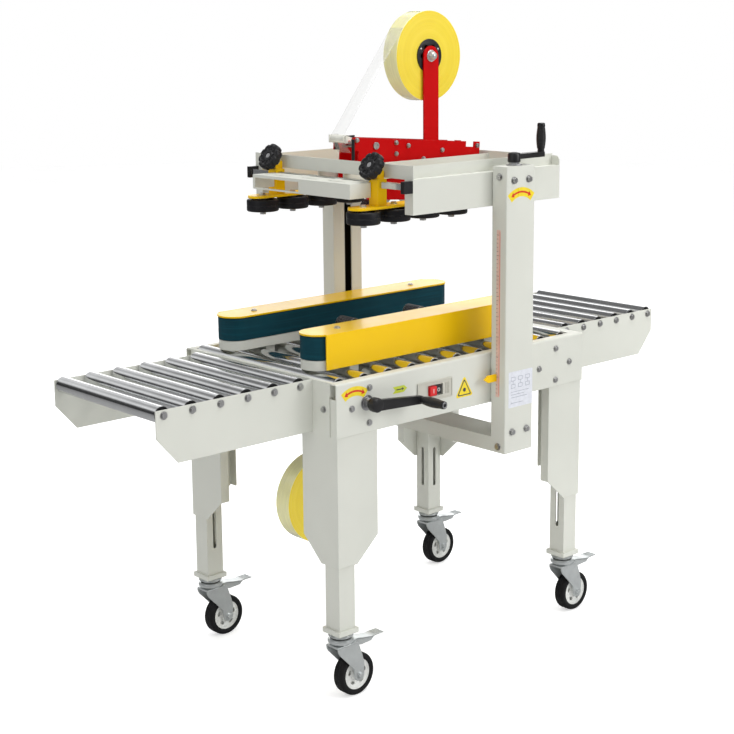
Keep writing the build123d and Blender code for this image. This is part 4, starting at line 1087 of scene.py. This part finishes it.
PANEL_Y = limits("near_side_panel")[0].y
COLUMN_LOW = limits("near_column")[0]
turn_arrow("width_turn_sticker", (55, PANEL_Y, 685), 70, radians(36))
turn_arrow("height_turn_sticker", (550, COLUMN_LOW.y, 1100), 72, radians(41))
sticker(
    "caution_sticker",
    upright((410, PANEL_Y, 688)),
    [
        (sticker_yellow, [round_triangle(27, 4)]),
        (sticker_ink, [round_triangle(22, 3)]),
        (sticker_yellow, [round_triangle(18.5, 2)]),
        (sticker_ink, [circle(0, 0, 5, 24)]),
    ],
)
sticker(
    "direction_sticker",
    upright((195, PANEL_Y, 725)),
    [
        (sticker_green, [[(-22, -8), (14, -8), (24, 0), (14, 8), (-22, 8), (-14, 0)]]),
        (sticker_ink, [[(-10, -1.2), (8, -1.2), (8, -4), (14, 0), (8, 4), (8, 1.2), (-10, 1.2)]]),
    ],
)


def stroke(start, end, width=0.9):
    """Thin printed line from one point to another, as an outline."""
    start, end = Vector(start), Vector(end)
    along = end - start
    side = Vector((-along.y, along.x)).normalized() * width / 2
    return [tuple(corner) for corner in (start - side, end - side, end + side, start + side)]


DIAGRAM = [stroke((x, y), (x + 14, y)) for x in (-34, -8, 18) for y in (4, 13, 22, 31)]
DIAGRAM += [stroke((x, y), (x, y + 9)) for x in (-34, -20, -8, 6, 18, 32) for y in (4, 22)]
DIAGRAM += [stroke((x, 13), (x, 22)) for x in (-27, -1, 25)]
DIAGRAM += [stroke((-34, y), (end, y)) for y, end in ((-6, 30), (-13, 12), (-20, 24), (-34, 8))]
sticker(
    "diagram_sticker",
    upright((554.5, COLUMN_LOW.y, 677)),
    [(sticker_white, [rounded_box(-43, 43, -45, 45, 2)]), (sticker_line, DIAGRAM)],
)


def switch_surround():
    """Raised rim with three ribs round the mains switch, and the rocker's bar and ring marks."""
    centre = middle("switch_rocker")
    seat = upright((centre.x, PANEL_Y - 2.6, centre.z))
    rim = bmesh.new()
    border = [rounded_box(-58, 58, -24, 24, 4), rounded_box(-55, 55, -21, 21, 3)]
    cut_plate(rim, border, seat, 1.6, 0.5)
    bezel = [rounded_box(-27, 27, -16, 16, 2), rounded_box(-24.6, 24.6, -13.6, 13.6, 1)]
    cut_plate(rim, bezel, seat, 1.6, 0.5)
    for x in (36, 41, 46):
        cut_plate(rim, [rounded_box(x - 0.8, x + 0.8, -14, 14, 0.7)], seat, 1.4, 0.4)
    piece("switch_rim", rim, [beige_plate], "machine_frame")
    marks = bmesh.new()
    raised = upright((centre.x - 10, limits("switch_rocker")[0].y, centre.z))
    prism(marks, rectangle(-1, 1, -5, 5), raised, FILM)
    flat = upright((centre.x + 11, PANEL_Y - 3, centre.z))
    lathe(marks, rectangle(3, 4.4, 0, FILM), flat, 28, closed=True)
    piece("switch_marks", marks, [hub_plastic], "switch_rocker")


switch_surround()


def height_scale():
    """Ruler on the column's infeed face, with a tick each centimetre and a longer one each fifth."""
    low, high = SCALE_SPAN
    ticks = []
    for step in range(1, int((high - low) / 10)):
        end = 2.4 if step % 5 == 0 else -1.1
        y = low + 10 * step
        ticks.append(rectangle(-5.6, end, y - 0.4, y + 0.4))
    seat = facing((COLUMN_LOW.x, -313, 0), (0, -1, 0), (0, 0, 1))
    layers = [
        (sticker_pink, [rounded_box(-6, 6, low, high, 0.8)]),
        (sticker_red, [rectangle(4.2, 5.4, low + 4, high - 4)]),
        (sticker_ink, ticks),
    ]
    sticker("height_scale", seat, layers)


height_scale()


# ------------ stage, lights and camera

# Places and sizes from here on are metres in the row frame.
FLOOR_RADIUS = 14
SURROUND = 0.55


def floor():
    """Round pale floor, bright to the camera and dimmer in reflections."""
    bm = bmesh.new()
    bm.faces.new([bm.verts.new((x, y, 0)) for x, y in circle(0, 0, FLOOR_RADIUS, 96)])
    mesh = bpy.data.meshes.new("floor")
    bm.to_mesh(mesh)
    bm.free()
    s = Surface("floor_vinyl")
    soft = s.between(s.noise(1.5, 3), 0.3, 0.7)
    pale = s.mix(soft, (0.9, 0.9, 0.9, 1), (0.94, 0.94, 0.94, 1))
    mirrored = s.node("ShaderNodeLightPath").outputs["Is Glossy Ray"]
    s.colour(s.mix(mirrored, pale, (0.42, 0.42, 0.42, 1)))
    s.rough(0.85)
    s.shader.inputs["Emission Color"].default_value = (1, 1, 1, 1)
    seen = s.node("ShaderNodeLightPath").outputs["Is Camera Ray"]
    s.put(s.shader.inputs["Emission Strength"], s.calc("MULTIPLY", seen, 0.5))
    mesh.materials.append(s.material)
    show("floor", mesh)


floor()


def softbox(name, place, target, size, power):
    """Rectangular lamp that faces a target."""
    data = bpy.data.lights.new(name, "AREA")
    data.shape = "RECTANGLE"
    data.size, data.size_y = size
    data.energy = power
    lamp = show(name, data)
    lamp.location = place
    lamp.rotation_euler = (Vector(target) - Vector(place)).to_track_quat("-Z", "Y").to_euler()


CENTRE = (0, 0, 0.8)
softbox("overhead", (0.3, -0.4, 4.2), CENTRE, (2.5, 2.5), 80)
softbox("key", (2.2, -4.2, 2.6), CENTRE, (2.4, 2.4), 76)
softbox("backdrop", (2.9, 3.3, 1.5), CENTRE, (4.6, 2.0), 55)
softbox("fill", (-4.2, -0.6, 2.0), CENTRE, (2.0, 2.4), 15)


def studio_world():
    """White to the camera, an even soft light on surfaces and a striped sky in reflections."""
    world = bpy.data.worlds.new("studio")
    bpy.context.scene.world = world
    world.use_nodes = True
    tree = world.node_tree
    tree.nodes.clear()
    link = tree.links.new
    node = tree.nodes.new

    def background(strength):
        made = node("ShaderNodeBackground")
        made.inputs["Color"].default_value = (1, 1, 1, 1)
        made.inputs["Strength"].default_value = strength
        return made

    def choice(share, first, second):
        made = node("ShaderNodeMixShader")
        for socket, source in zip(made.inputs, (share, first, second)):
            link(source, socket)
        return made.outputs[0]

    split = node("ShaderNodeSeparateXYZ")
    link(node("ShaderNodeTexCoord").outputs["Generated"], split.inputs[0])
    height = node("ShaderNodeMapRange")
    height.inputs["From Min"].default_value = -1
    link(split.outputs["Z"], height.inputs["Value"])
    ramp = node("ShaderNodeValToRGB")
    # Each stop is a height, from 0 straight down to 1 straight up, and its brightness.
    stops = [(0, 0.3), (0.5, 0.03), (0.66, 0.07), (0.72, 0.95), (0.77, 0.9), (0.81, 0.15)]
    stops += [(0.92, 0.2), (1, 1)]
    for position, level in stops[1:-1]:
        ramp.color_ramp.elements.new(position).color = (level, level, level, 1)
    for end in (0, -1):
        ramp.color_ramp.elements[end].color = (stops[end][1],) * 3 + (1,)
    link(height.outputs[0], ramp.inputs[0])
    gloss = background(1.0)
    link(ramp.outputs[0], gloss.inputs["Color"])
    path = node("ShaderNodeLightPath").outputs
    unseen = choice(path["Is Glossy Ray"], background(SURROUND).outputs[0], gloss.outputs[0])
    shown = choice(path["Is Camera Ray"], unseen, background(1.0).outputs[0])
    link(shown, node("ShaderNodeOutputWorld").inputs[0])


studio_world()

# Solved from the straight edges of the machine in the photo.
CAMERA_PLACE = Vector((-2.6089, -2.7966, 1.5632))
CAMERA_YAW = radians(42.106)
CAMERA_PITCH = radians(11.038)
CAMERA_ROLL = radians(-0.524)
LENS = 75.64
SHIFT_Y = -0.0599


def camera():
    forward = Vector(
        (sin(CAMERA_YAW) * cos(CAMERA_PITCH), cos(CAMERA_YAW) * cos(CAMERA_PITCH), -sin(CAMERA_PITCH))
    )
    level = Vector((cos(CAMERA_YAW), -sin(CAMERA_YAW), 0))
    over = level.cross(forward)
    right = cos(CAMERA_ROLL) * level + sin(CAMERA_ROLL) * over
    up = cos(CAMERA_ROLL) * over - sin(CAMERA_ROLL) * level
    data = bpy.data.cameras.new("camera")
    data.lens = LENS
    data.sensor_width = 36
    data.shift_y = SHIFT_Y
    made = show("camera", data)
    turned = Matrix((right, up, -forward)).transposed().to_4x4()
    made.matrix_world = Matrix.Translation(CAMERA_PLACE) @ turned
    bpy.context.scene.camera = made


camera()
bpy.context.scene.view_settings.view_transform = "Standard"
